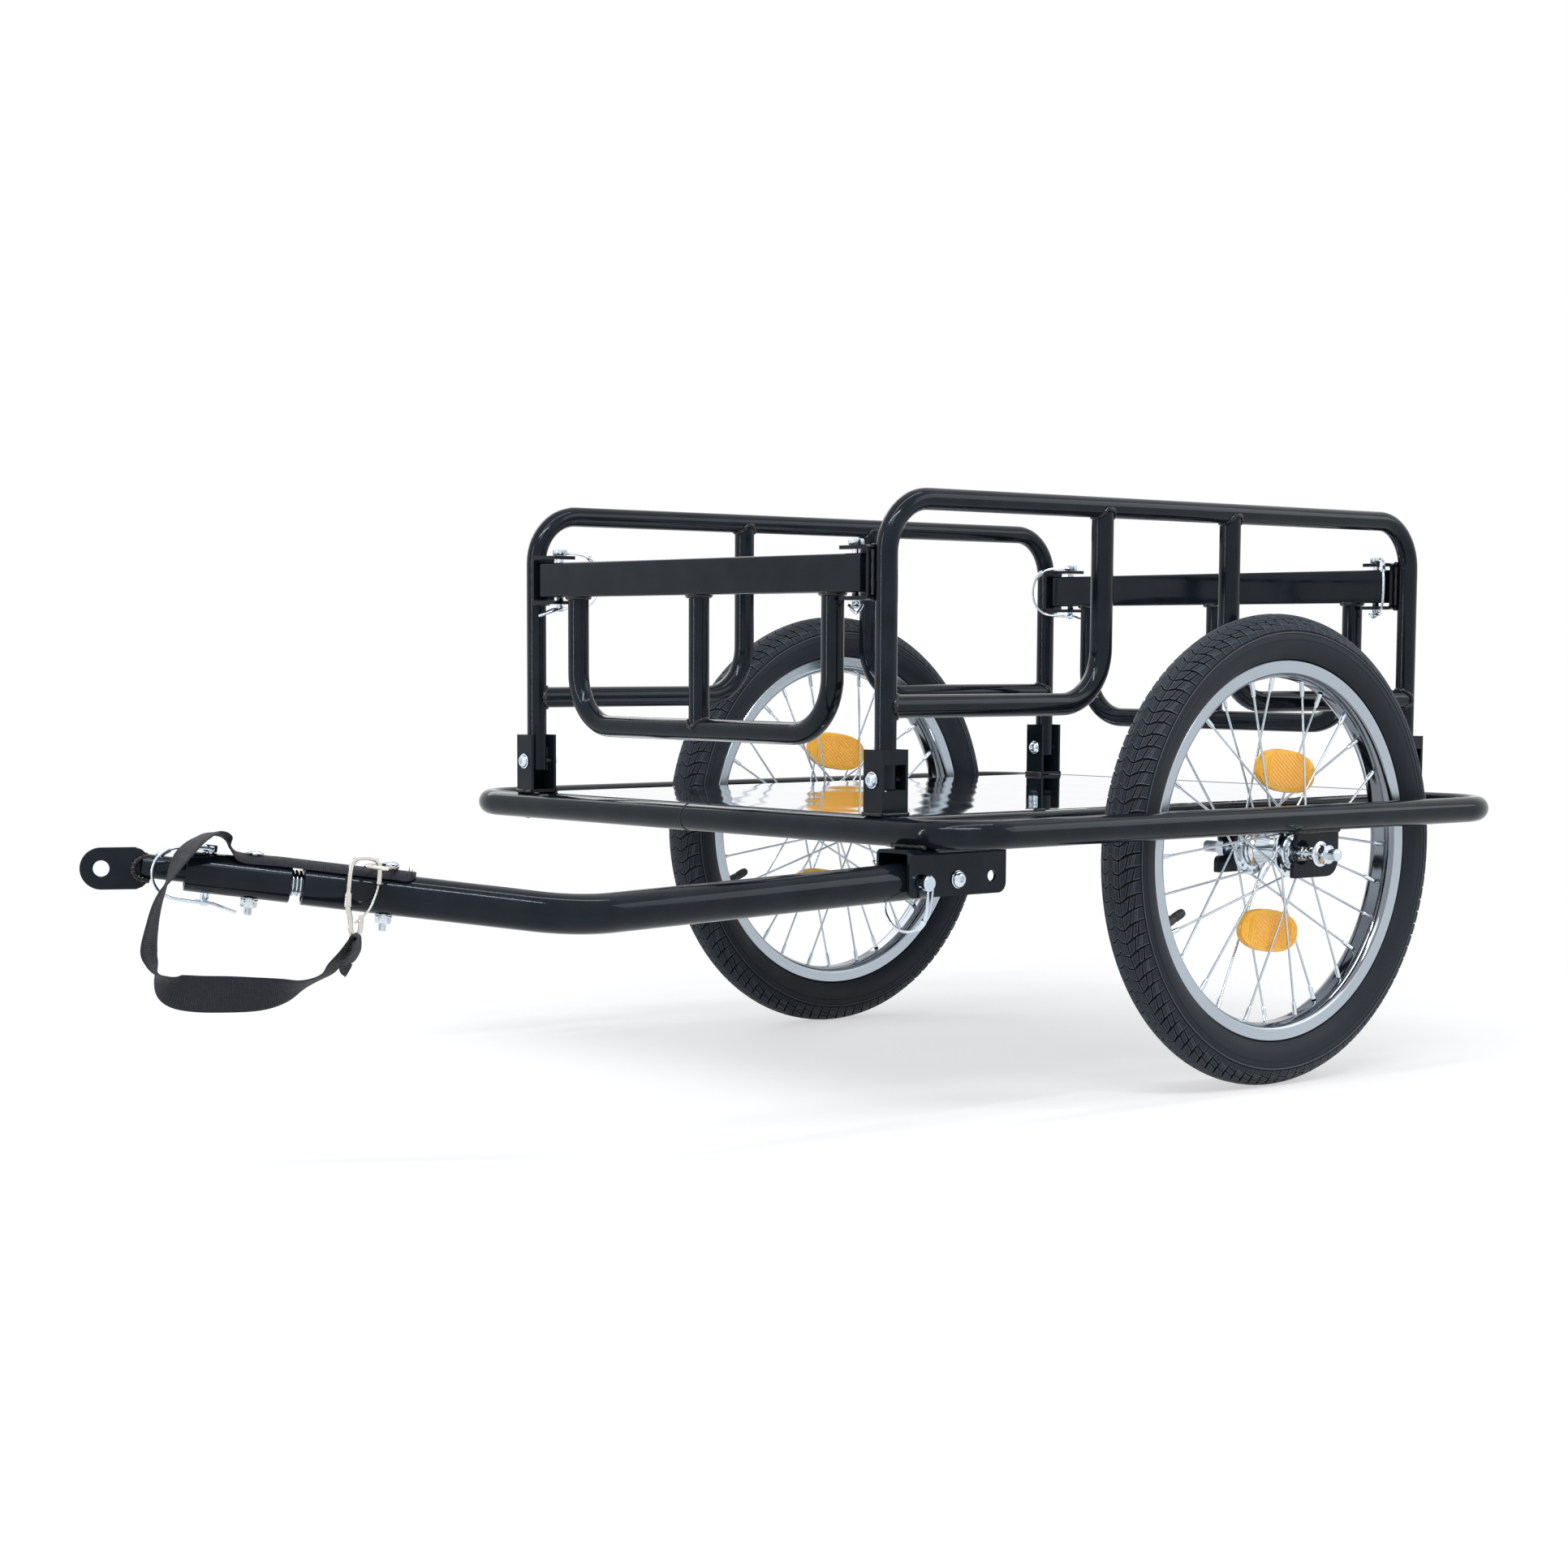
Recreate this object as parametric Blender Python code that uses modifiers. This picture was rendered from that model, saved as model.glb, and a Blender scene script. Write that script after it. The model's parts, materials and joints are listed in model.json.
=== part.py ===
# Folding bicycle trailer: a flat deck in a ring of tube, on two spoked wheels.
# Both side panels fold inward, the front and rear gates lift off, and the tow arm swings down.
# Metres, +X forward to the hitch, +Y left, +Z up. The wheels stand on z = 0.
import math

import bmesh
import bpy
from mathutils import Matrix, Vector

# Wheels
RIM_FLANGE_RADIUS = 0.159
RIM_HALF_WIDTH = 0.014
RIM_WALL = 0.0018
RIM_DEPTH = 0.0145
RIM_SHOULDER_RISE = 0.004
RIM_BED_HALF_WIDTH = 0.0055
RIM_SIDES = 40
RIM_LEAN = 0.001
TYRE_HEIGHT = 0.038
TYRE_HALF_WIDTH = 0.022
TYRE_BEAD_DEPTH = 0.006
TYRE_BEAD_RISE = 0.00215
TYRE_LOW_ANGLE = 38.0
HUB_FLANGE_RADIUS = 0.0215
HUB_FLANGE_SPACING = 0.046
HUB_BARREL_RADIUS = 0.0105
HUB_FLANGE_THICKNESS = 0.003
HUB_CUP_RADIUS = 0.0135
HUB_CUP_LENGTH = 0.007
HUB_NECK = 0.002
HUB_TAPER = 0.006
SPOKE_COUNT = 28
SPOKE_RADIUS = 0.001
SPOKE_HOLE_INSET = 0.0035
SPOKE_LACE = 0.0017
SPOKE_RIM_OFFSET = 0.0025
SPOKE_CROSS_ANGLE = 70.0
AXLE_RADIUS = 0.005
AXLE_INNER_REACH = 0.072
AXLE_OUTER_REACH = 0.072
AXLE_NUT_RADIUS = 0.009
AXLE_NUT_HEIGHT = 0.008
AXLE_WASHER_RADIUS = 0.0105
AXLE_WASHER_HEIGHT = 0.002
CONE_RADIUS = 0.0065
OUTER_NUT_STANDOFF = 0.009
REFLECTOR_LENGTH = 0.074
REFLECTOR_HEIGHT = 0.036
REFLECTOR_THICKNESS = 0.007
REFLECTOR_RADIUS = 0.067
REFLECTOR_OFFSET = 0.005
VALVE_RADIUS = 0.0035
VALVE_LENGTH = 0.026
VALVE_FOOT_RADIUS = 0.0055
VALVE_FOOT_HEIGHT = 0.0015
VALVE_ANGLE = -22.7

# Base frame: the axle lies at the origin in x, and the ring sits above it
RING_TUBE_RADIUS = 0.011
RING_RISE = 0.029
RING_FRONT_X = 0.4015
RING_REAR_X = -0.261
RING_HALF_WIDTH = 0.317
RING_CORNER_RADIUS = 0.05
WHEEL_INSET = 0.040
RAIL_INSET = 0.082
INNER_RAIL_RADIUS = 0.010
REAR_CROSS_X = -0.09
FRONT_CROSS_X = 0.23
DECK_THICKNESS = 0.001
DECK_EDGE_MARGIN = 0.001

# Side panels, with their heights above the deck
LEG_INSET = 0.0097
FRONT_LEG_INSET = 0.009
REAR_LEG_INSET = 0.018
PANEL_TUBE_RADIUS = 0.0085
PANEL_HEIGHT = 0.2407
PANEL_CORNER_RADIUS = 0.042
INFILL_TUBE_RADIUS = 0.009
INFILL_HEIGHT = 0.0827
INFILL_CORNER_RADIUS = 0.045
INFILL_SINK = 0.004
FRONT_INFILL_REACH = 0.2368
REAR_INFILL_REACH = 0.2425
FOLD_HEIGHT = 0.0272

# Leg brackets
LEG_BRACKET_LENGTH = 0.0265
LEG_BRACKET_WIDTH = 0.0215
LEG_BRACKET_HEIGHT = 0.050
LEG_BRACKET_SHEET = 0.0025
WINDOW_LOW = 0.0185
WINDOW_HIGH = 0.0385
LEG_BOLT_RADIUS = 0.003
LEG_BOLT_HEAD_RADIUS = 0.0065
LEG_BOLT_TAIL = 0.004

# Gates and their brackets
GATE_BAR_HEIGHT = 0.0295
GATE_BAR_DEPTH = 0.020
GATE_BAR_ABOVE_DECK = 0.1842
GATE_BAR_END_GAP = 0.0075
GATE_TUBE_RADIUS = 0.009
GATE_UPRIGHT_INSET = 0.0613
GATE_BOTTOM_ABOVE_DECK = 0.0597
GATE_CORNER_RADIUS = 0.045
TAB_LENGTH = 0.0335
TAB_DEPTH = 0.022
TAB_SHEET = 0.003
TAB_GAP = 0.003
GATE_PIN_INSET = 0.0348
GATE_PIN_RADIUS = 0.003
GATE_PIN_HEAD_RADIUS = 0.0062
GATE_PIN_HEAD_HEIGHT = 0.005
GATE_PIN_TAIL = 0.006
FOLD_ANGLE = 77.0
GATE_TRAVEL = 0.80

# Tow arm
ARM_TUBE_RADIUS = 0.014
ARM_INSET = 0.049
ARM_PIVOT_INSET = 0.0277
ARM_PIVOT_DROP = 0.0345
ARM_HOLE_PITCH = 0.036
ARM_TAIL = 0.014
ARM_REAR_LENGTH = 0.3422
ARM_CORNER_DROP = 0.010
ARM_BEND_RADIUS = 0.12
ARM_TURN = -27.0
ARM_RISE = 7.64
ARM_END = 0.187
ARM_WALL = 0.002
ARM_BRACKET_FRONT = 0.0497
ARM_BRACKET_REAR = 0.0513
ARM_BRACKET_HEIGHT = 0.0355
ARM_BRACKET_SHEET = 0.0025
ARM_BRACKET_SIDE_GAP = 0.0016
ARM_PIN_RADIUS = 0.004
ARM_PIN_HEAD_RADIUS = 0.006
ARM_PIN_STANDOFF = 0.003
ARM_BOLT_RADIUS = 0.004
DROPOUT_LENGTH = 0.057
DROPOUT_FRONT = 0.0215
DROPOUT_SHEET = 0.004
DROPOUT_DROP = 0.020
DROPOUT_CORNER = 0.014

# Coupler, measured along the arm's front run from its corner
SLEEVE_START = 0.195
SLEEVE_END = 0.264
SLEEVE_RADIUS = 0.0136
SLEEVE_WALL = 0.002
SPRING_RADIUS = 0.009
SPRING_WIRE = 0.00105
SPRING_TURNS = 6
SPRING_PITCH = 0.0027
STUB_RADIUS = 0.008
STUB_WALL = 0.002
STUB_START = 0.2155
PLATE_START = 0.286
PLATE_LENGTH = 0.046
PLATE_HEIGHT = 0.0277
PLATE_THICKNESS = 0.005
PLATE_HOLE_RADIUS = 0.0053
PLATE_DROP = 0.0045
COUPLER_BOLT_AT = 0.2205
ARM_BOLT_AT = 0.131
HITCH_PIN_AT = 0.2495
HITCH_PIN_RADIUS = 0.003
SMALL_BOLT_RADIUS = 0.003
HITCH_BAIL_TURN = 25.0

# Safety strap
STRAP_WIDTH = 0.025
STRAP_THICKNESS = 0.002
HOOK_WIRE = 0.0018
HOOK_CLEARANCE = 0.0025
GATE_WIRE = 0.0008
RING_WIRE = 0.0014
RING_TURN = 63.0

GAP = 0.0003
BAIL_WIRE = 0.0011
BAIL_STRAND = 0.0048
ROUND_SIDES = 12

TYRE_RADIUS = RIM_FLANGE_RADIUS + TYRE_HEIGHT
AXLE_Z = TYRE_RADIUS
RING_Z = AXLE_Z + RING_RISE
RING_TOP = RING_Z + RING_TUBE_RADIUS
DECK_TOP = RING_TOP + GAP
WHEEL_Y = RING_HALF_WIDTH - WHEEL_INSET
INNER_RAIL_Y = RING_HALF_WIDTH - RAIL_INSET
LEG_Y = INNER_RAIL_Y - LEG_INSET
FRONT_LEG_X = RING_FRONT_X - FRONT_LEG_INSET
REAR_LEG_X = RING_REAR_X + REAR_LEG_INSET
PANEL_TOP_Z = DECK_TOP + PANEL_HEIGHT
INFILL_RAIL_Z = DECK_TOP + INFILL_HEIGHT
FRONT_INFILL_X = FRONT_LEG_X - FRONT_INFILL_REACH
REAR_INFILL_X = REAR_LEG_X + REAR_INFILL_REACH
FOLD_Z = DECK_TOP + FOLD_HEIGHT
# The leg's foot stays just above the lower edge of the bracket's window, through which it swings
LEG_TAIL = FOLD_HEIGHT - WINDOW_LOW - 2 * GAP
GATE_BAR_Z = DECK_TOP + GATE_BAR_ABOVE_DECK
GATE_BOTTOM_Z = DECK_TOP + GATE_BOTTOM_ABOVE_DECK
GATE_UPRIGHT_Y = LEG_Y - GATE_UPRIGHT_INSET
GATE_PIN_Y = LEG_Y - GATE_PIN_INSET
ARM_Y = RING_HALF_WIDTH - ARM_INSET
ARM_PIVOT_X = RING_FRONT_X - ARM_PIVOT_INSET
ARM_PIVOT_Z = RING_Z - ARM_PIVOT_DROP
ARM_CORNER_X = ARM_PIVOT_X + ARM_REAR_LENGTH
ARM_CORNER_Z = ARM_PIVOT_Z - ARM_CORNER_DROP
HOOK_SIDE = ARM_TUBE_RADIUS + HOOK_WIRE + HOOK_CLEARANCE
PLATE_REACH = PLATE_START * math.cos(math.radians(ARM_RISE)) + PLATE_LENGTH
NOSE_X = (ARM_CORNER_X + PLATE_REACH * math.cos(math.radians(ARM_TURN))
          - PLATE_THICKNESS / 2 * math.sin(math.radians(ARM_TURN)))
TAIL_X = RING_REAR_X - RING_TUBE_RADIUS
MIDDLE_X = (NOSE_X + TAIL_X) / 2

BLACK = (0.012, 0.012, 0.014)
ZINC = (0.62, 0.66, 0.70)


def clear_scene():
    for old in list(bpy.data.objects):
        bpy.data.objects.remove(old, do_unlink=True)


def collection(name):
    made = bpy.data.collections.new(name)
    bpy.context.scene.collection.children.link(made)
    return made


def material(name, colour, roughness, metallic):
    made = bpy.data.materials.new(name)
    made.use_nodes = True
    shader = made.node_tree.nodes["Principled BSDF"]
    shader.inputs["Base Color"].default_value = (*colour, 1.0)
    shader.inputs["Roughness"].default_value = roughness
    shader.inputs["Metallic"].default_value = metallic
    return made


clear_scene()
PARTS = collection("folding_bicycle_trailer")
CUTTERS = collection("cutters")
POWDER = material("black_powder_coat", BLACK, 0.28, 0.0)
SHEET = material("galvanised_sheet", (0.55, 0.57, 0.60), 0.22, 1.0)
ZINC_PLATE = material("zinc_plate", ZINC, 0.28, 1.0)
RIM_STEEL = material("rim_steel", (0.60, 0.61, 0.63), 0.25, 1.0)
RUBBER = material("tyre_rubber", (0.018, 0.018, 0.020), 0.75, 0.0)
TUBE_RUBBER = material("tube_rubber", (0.02, 0.02, 0.02), 0.6, 0.0)
AMBER = material("amber_plastic", (0.95, 0.42, 0.02), 0.25, 0.0)
WEBBING = material("black_webbing", (0.02, 0.02, 0.024), 0.9, 0.0)
NICKEL = material("nickel_plate", (0.72, 0.70, 0.66), 0.18, 1.0)


def empty(name, place, parent=None):
    made = bpy.data.objects.new(name, None)
    made.location = place
    made.parent = parent
    PARTS.objects.link(made)
    return made


def add(name, mesh, parent, mat, smooth_angle=40.0):
    made = bpy.data.objects.new(name, mesh)
    made.parent = parent
    if mat is None:
        CUTTERS.objects.link(made)
        made.hide_render = True
        made.display_type = "WIRE"
    else:
        PARTS.objects.link(made)
        mesh.materials.clear()
        mesh.materials.append(mat)
        mesh.shade_smooth()
        mesh.set_sharp_from_angle(angle=math.radians(smooth_angle))
    return made


def boolean(target, other, operation):
    step = target.modifiers.new(operation.lower(), "BOOLEAN")
    step.operation = operation
    step.object = other
    for holder in list(other.users_collection):
        holder.objects.unlink(other)
    CUTTERS.objects.link(other)
    other.hide_render = True
    other.display_type = "WIRE"


def join(target, *others):
    for other in others:
        boolean(target, other, "UNION")
    return target


def cut(target, *others):
    for other in others:
        boolean(target, other, "DIFFERENCE")
    return target


def mesh_of(name, build):
    body = bmesh.new()
    build(body)
    bmesh.ops.recalc_face_normals(body, faces=body.faces)
    made = bpy.data.meshes.new(name)
    body.to_mesh(made)
    body.free()
    return made


def box(name, low, high, parent, mat=None, bevel=0.0):
    low = Vector(low)
    high = Vector(high)

    def build(body):
        bmesh.ops.create_cube(body, size=1.0)
        bmesh.ops.scale(body, vec=high - low, verts=body.verts)
        bmesh.ops.translate(body, vec=(low + high) / 2, verts=body.verts)

    made = add(name, mesh_of(name, build), parent, mat)
    if bevel > 0.0:
        round_edges(made, bevel)
    return made


def round_edges(target, width, segments=1):
    step = target.modifiers.new("bevel", "BEVEL")
    step.width = width
    step.segments = segments
    step.limit_method = "ANGLE"
    step.angle_limit = math.radians(50.0)


def rod(name, start, end, radius, parent, mat=None, sides=ROUND_SIDES, end_radius=None):
    start = Vector(start)
    end = Vector(end)
    along = end - start
    turn = along.to_track_quat("Z", "Y").to_matrix().to_4x4()

    def build(body):
        bmesh.ops.create_cone(body, cap_ends=True, segments=sides, radius1=radius,
                              radius2=radius if end_radius is None else end_radius, depth=along.length)
        bmesh.ops.transform(body, matrix=Matrix.Translation((start + end) / 2) @ turn, verts=body.verts)

    return add(name, mesh_of(name, build), parent, mat)


def turned(name, profile, parent, mat=None, sides=24, closed=False):
    """A profile of (radius, height) points turned about Z; closed makes a ring section."""
    points = [Vector((radius, 0.0, height)) for radius, height in profile]
    made = bpy.data.meshes.new(name)
    edges = [(i, i + 1) for i in range(len(points) - 1)]
    if closed:
        edges.append((len(points) - 1, 0))
    made.from_pydata(points, edges, [])
    turned_object = add(name, made, parent, mat)
    step = turned_object.modifiers.new("screw", "SCREW")
    step.steps = sides
    step.render_steps = sides
    step.use_merge_vertices = True
    step.merge_threshold = 0.00001
    step.use_smooth_shade = True
    return turned_object


def baked(target):
    """The evaluated shape as a plain mesh on the same object."""
    graph = bpy.context.evaluated_depsgraph_get()
    graph.update()
    mesh = bpy.data.meshes.new_from_object(target.evaluated_get(graph))
    mats = list(target.data.materials)
    target.modifiers.clear()
    target.data = mesh
    mesh.materials.clear()
    for mat in mats:
        mesh.materials.append(mat)
    return target


def fillet(corners, radius, steps=5, closed=False):
    """A path through corners, each corner rounded by an arc of the given radius."""
    corners = [Vector(c) for c in corners]
    count = len(corners)
    path = []
    for i, corner in enumerate(corners):
        if not closed and i in (0, count - 1):
            path.append(corner)
            continue
        back = (corners[i - 1] - corner).normalized()
        ahead = (corners[(i + 1) % count] - corner).normalized()
        half = back.angle(ahead) / 2
        reach = radius / math.tan(half)
        centre = corner + (back + ahead).normalized() * (radius / math.sin(half))
        start = corner + back * reach - centre
        end = corner + ahead * reach - centre
        sweep = start.angle(end)
        axis = start.cross(end).normalized()
        for k in range(steps + 1):
            path.append(centre + Matrix.Rotation(sweep * k / steps, 3, axis) @ start)
    return path


def tube(name, path, radius, parent, mat=None, closed=False, resolution=3):
    """A round bar along a path, as a mesh with welded end caps."""
    curve = bpy.data.curves.new(name, "CURVE")
    curve.dimensions = "3D"
    curve.bevel_depth = radius
    curve.bevel_resolution = resolution
    curve.use_fill_caps = True
    spline = curve.splines.new("POLY")
    spline.points.add(len(path) - 1)
    for point, place in zip(spline.points, path):
        point.co = (*place, 1.0)
    spline.use_cyclic_u = closed
    holder = bpy.data.objects.new(name + "_curve", curve)
    bpy.context.scene.collection.objects.link(holder)
    bpy.context.view_layer.update()
    graph = bpy.context.evaluated_depsgraph_get()
    mesh = bpy.data.meshes.new_from_object(holder.evaluated_get(graph))
    bpy.data.objects.remove(holder, do_unlink=True)
    body = bmesh.new()
    body.from_mesh(mesh)
    bmesh.ops.remove_doubles(body, verts=body.verts, dist=0.00001)
    bmesh.ops.recalc_face_normals(body, faces=body.faces)
    body.to_mesh(mesh)
    body.free()
    return add(name, mesh, parent, mat)


def sheet_outline(name, outline, thickness, parent, mat=None):
    """An outline in X and Z, extruded to a thickness centred on Y = 0."""

    def build(body):
        face = body.faces.new([body.verts.new((x, -thickness / 2, z)) for x, z in outline])
        moved = bmesh.ops.extrude_face_region(body, geom=[face])["geom"]
        bmesh.ops.translate(body, vec=(0, thickness, 0), verts=[v for v in moved if isinstance(v, bmesh.types.BMVert)])

    return add(name, mesh_of(name, build), parent, mat)


def arc(centre, radius, start, end, steps):
    """Points (x, z) on an arc, angles in degrees."""
    points = []
    for k in range(steps + 1):
        angle = math.radians(start + (end - start) * k / steps)
        points.append((centre[0] + radius * math.cos(angle), centre[1] + radius * math.sin(angle)))
    return points


# Base frame: ring, inner rails, cross members and deck
def base_frame(trailer):
    corners = [
        (RING_FRONT_X, 0.0, RING_Z),
        (RING_FRONT_X, RING_HALF_WIDTH, RING_Z),
        (RING_REAR_X, RING_HALF_WIDTH, RING_Z),
        (RING_REAR_X, -RING_HALF_WIDTH, RING_Z),
        (RING_FRONT_X, -RING_HALF_WIDTH, RING_Z),
    ]
    path = fillet(corners[1:], RING_CORNER_RADIUS, steps=6, closed=True)
    tube("base_ring", path, RING_TUBE_RADIUS, trailer, POWDER, closed=True)
    rail_z = DECK_TOP - DECK_THICKNESS - GAP - INNER_RAIL_RADIUS
    inner_front = RING_FRONT_X - RING_TUBE_RADIUS - GAP
    inner_rear = RING_REAR_X + RING_TUBE_RADIUS + GAP
    for side, y in (("left", INNER_RAIL_Y), ("right", -INNER_RAIL_Y)):
        rod("inner_rail_" + side, (inner_rear, y, rail_z), (inner_front, y, rail_z), INNER_RAIL_RADIUS,
            trailer, POWDER)
    reach = INNER_RAIL_Y - INNER_RAIL_RADIUS - GAP
    for label, x in (("rear", REAR_CROSS_X), ("front", FRONT_CROSS_X)):
        rod("cross_member_" + label, (x, -reach, rail_z), (x, reach, rail_z), INNER_RAIL_RADIUS, trailer, POWDER)
    box("deck_sheet", (inner_rear + DECK_EDGE_MARGIN, -INNER_RAIL_Y, DECK_TOP - DECK_THICKNESS),
        (inner_front - DECK_EDGE_MARGIN, INNER_RAIL_Y, DECK_TOP), trailer, SHEET)


# Leg brackets: a channel open inboard, its web cut through where the leg's tail swings out
def leg_bracket(name, x, side, trailer):
    base = DECK_TOP + GAP
    wall = LEG_BRACKET_SHEET
    outer = LEG_Y + PANEL_TUBE_RADIUS + GAP + wall
    low_y = outer - LEG_BRACKET_WIDTH
    half = LEG_BRACKET_LENGTH / 2
    top = base + LEG_BRACKET_HEIGHT

    def sided(y_low, y_high):
        return (y_low, y_high) if side > 0 else (-y_high, -y_low)

    y0, y1 = sided(low_y, outer)
    body = box(name, (x - half, y0, base), (x + half, y1, top), trailer, POWDER)
    y0, y1 = sided(low_y - wall, outer - wall)
    hollow = box(name + "_hollow", (x - half + wall, y0, base + wall), (x + half - wall, y1, top + wall), trailer)
    y0, y1 = sided(outer - 2 * wall, outer + wall)
    window = box(name + "_window", (x - half + wall, y0, base + WINDOW_LOW), (x + half - wall, y1, base + WINDOW_HIGH),
                 trailer)
    hole = rod(name + "_hole", (x - 2 * half, side * LEG_Y, FOLD_Z), (x + 2 * half, side * LEG_Y, FOLD_Z),
               LEG_BOLT_RADIUS + GAP, trailer)
    return cut(body, hollow, window, hole)


def leg_bolt(name, x, side, trailer):
    """Button head and washer on the front flange, plain nut on the rear one."""
    half = LEG_BRACKET_LENGTH / 2 + GAP
    y = side * LEG_Y
    body = rod(name, (x - half - LEG_BOLT_TAIL, y, FOLD_Z), (x + half + 0.001, y, FOLD_Z), LEG_BOLT_RADIUS,
               trailer, ZINC_PLATE)
    washer = rod(name + "_washer", (x + half, y, FOLD_Z), (x + half + 0.0012, y, FOLD_Z), LEG_BOLT_HEAD_RADIUS, trailer)
    head = rod(name + "_head", (x + half + 0.0008, y, FOLD_Z), (x + half + 0.0038, y, FOLD_Z), 0.005, trailer,
               end_radius=0.0032)
    nut = rod(name + "_nut", (x - half - 0.003, y, FOLD_Z), (x - half, y, FOLD_Z), 0.0055, trailer, sides=6)
    return join(body, washer, head, nut)


# Side panels, modelled about their fold axis
def side_panel(name, side, trailer):
    axis = empty(name + "_axis", (0.0, side * LEG_Y, FOLD_Z), trailer)
    foot = -LEG_TAIL
    top = PANEL_TOP_Z - FOLD_Z
    rail = INFILL_RAIL_Z - FOLD_Z
    outline = fillet([(FRONT_LEG_X, 0, foot), (FRONT_LEG_X, 0, top), (REAR_LEG_X, 0, top), (REAR_LEG_X, 0, foot)],
                     PANEL_CORNER_RADIUS)
    body = tube(name, outline, PANEL_TUBE_RADIUS, axis, POWDER)
    front = fillet([(FRONT_LEG_X, 0, rail), (FRONT_INFILL_X, 0, rail), (FRONT_INFILL_X, 0, top)],
                   INFILL_CORNER_RADIUS)
    rear = fillet([(REAR_LEG_X, 0, rail), (REAR_INFILL_X, 0, rail), (REAR_INFILL_X, 0, top)], INFILL_CORNER_RADIUS)
    # The infill tubes are a little thicker than the frame, so they stop inside it
    front[0] = front[0] + Vector((-INFILL_SINK, 0, 0))
    rear[0] = rear[0] + Vector((INFILL_SINK, 0, 0))
    front[-1] = front[-1] - Vector((0, 0, INFILL_SINK))
    rear[-1] = rear[-1] - Vector((0, 0, INFILL_SINK))
    join(body, tube(name + "_front_infill", front, INFILL_TUBE_RADIUS, axis),
         tube(name + "_rear_infill", rear, INFILL_TUBE_RADIUS, axis))
    for end, x in (("front", FRONT_LEG_X), ("rear", REAR_LEG_X)):
        join(body, gate_bracket(name + "_" + end + "_bracket", x, side, axis))
    for x in (FRONT_LEG_X, REAR_LEG_X):
        cut(body, rod(name + "_bolt_hole", (x - 0.02, 0, 0), (x + 0.02, 0, 0), LEG_BOLT_RADIUS + GAP, axis))
    return body


def gate_bracket(name, x, side, axis):
    """Folded C of sheet on a leg: its two tabs take the bar's end between them."""
    low = GATE_BAR_Z - GATE_BAR_HEIGHT / 2 - TAB_GAP - TAB_SHEET - FOLD_Z
    high = GATE_BAR_Z + GATE_BAR_HEIGHT / 2 + TAB_GAP + TAB_SHEET - FOLD_Z
    web = PANEL_TUBE_RADIUS - 0.002
    tip = PANEL_TUBE_RADIUS + TAB_LENGTH
    half = TAB_DEPTH / 2

    def y_span(near, far):
        return sorted((-side * near, -side * far))

    near, far = y_span(web, tip)
    body = box(name, (x - half, near, low), (x + half, far, high), axis)
    near, far = y_span(PANEL_TUBE_RADIUS + TAB_SHEET, tip + 0.01)
    hollow = box(name + "_hollow", (x - 2 * half, near, low + TAB_SHEET), (x + 2 * half, far, high - TAB_SHEET), axis)
    pin_y = -side * (LEG_Y - GATE_PIN_Y)
    hole = rod(name + "_pin_hole", (x, pin_y, low - 0.01), (x, pin_y, high + 0.01), GATE_PIN_RADIUS + GAP, axis)
    cut(body, hollow, hole)
    return baked(body)


# Gates: a bar between the panels with a hanging U and a middle upright
def gate(name, x, outward, trailer):
    place = empty(name + "_place", (x, 0.0, GATE_BAR_Z), trailer)
    reach = LEG_Y - PANEL_TUBE_RADIUS - TAB_SHEET - GATE_BAR_END_GAP
    half_depth = GATE_BAR_DEPTH / 2
    half_height = GATE_BAR_HEIGHT / 2
    bar = box(name, (-half_depth, -reach, -half_height), (half_depth, reach, half_height), place, POWDER, bevel=0.0015)
    baked(bar)
    bottom = GATE_BOTTOM_Z - GATE_BAR_Z
    hanger = fillet([(0, -GATE_UPRIGHT_Y, -half_height + 0.003), (0, -GATE_UPRIGHT_Y, bottom),
                     (0, GATE_UPRIGHT_Y, bottom), (0, GATE_UPRIGHT_Y, -half_height + 0.003)], GATE_CORNER_RADIUS)
    join(bar, tube(name + "_hanger", hanger, GATE_TUBE_RADIUS, place))
    join(bar, rod(name + "_middle", (0, 0, -half_height + 0.003), (0, 0, bottom), GATE_TUBE_RADIUS - 0.0005, place))
    # Each pin hole opens toward the cargo, slanted so that the bar clears a folding panel's pins
    slope = (GATE_BAR_Z - FOLD_Z) * math.radians(FOLD_ANGLE) / GATE_TRAVEL
    radius = GATE_PIN_RADIUS + GAP
    for side in (1.0, -1.0):
        run = 2.0 * GATE_BAR_DEPTH
        pin = Vector((0.0, side * GATE_PIN_Y, 0.0))
        hole = rod(name + "_pin_hole", pin - Vector((0, 0, 0.03)), pin + Vector((0, 0, 0.03)), radius, place)
        end = Vector((-outward * run, -side * slope * run, 0.0))
        slot = box(name + "_pin_slot", (0.0, -radius - 3 * GAP, -0.03), (end.length, radius + 3 * GAP, 0.03), place)
        slot.data.transform(Matrix.Translation(pin) @ Matrix.Rotation(math.atan2(end.y, end.x), 4, "Z"))
        cut(bar, hole, slot)
    return bar


def bail_path(high, low, reach, tail_reach, tail_rise):
    """Wire from the pin's head round to its tail, then a narrow loop that snaps over the tail.

    Points are (out, along, across) on the pin's own axes."""
    middle = (high + low) / 2
    half = (high - low) / 2
    path = []
    for k in range(10):
        angle = math.radians(162.0) * k / 9
        path.append((reach * math.sin(angle) ** 0.5 if k else 0.0, middle + half * math.cos(angle), 0.0))
    path.append((0.004, low, BAIL_STRAND))
    path.append((-0.003, low, BAIL_STRAND))
    path.append((-tail_reach * 0.55, low - tail_rise * 0.45, BAIL_STRAND * 0.7))
    path.append((-tail_reach, low - tail_rise, 0.0))
    path.append((-tail_reach * 0.55, low - tail_rise * 0.45, -BAIL_STRAND * 0.7))
    path.append((-0.003, low, -BAIL_STRAND))
    path.append((0.004, low, -BAIL_STRAND))
    return path


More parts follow.
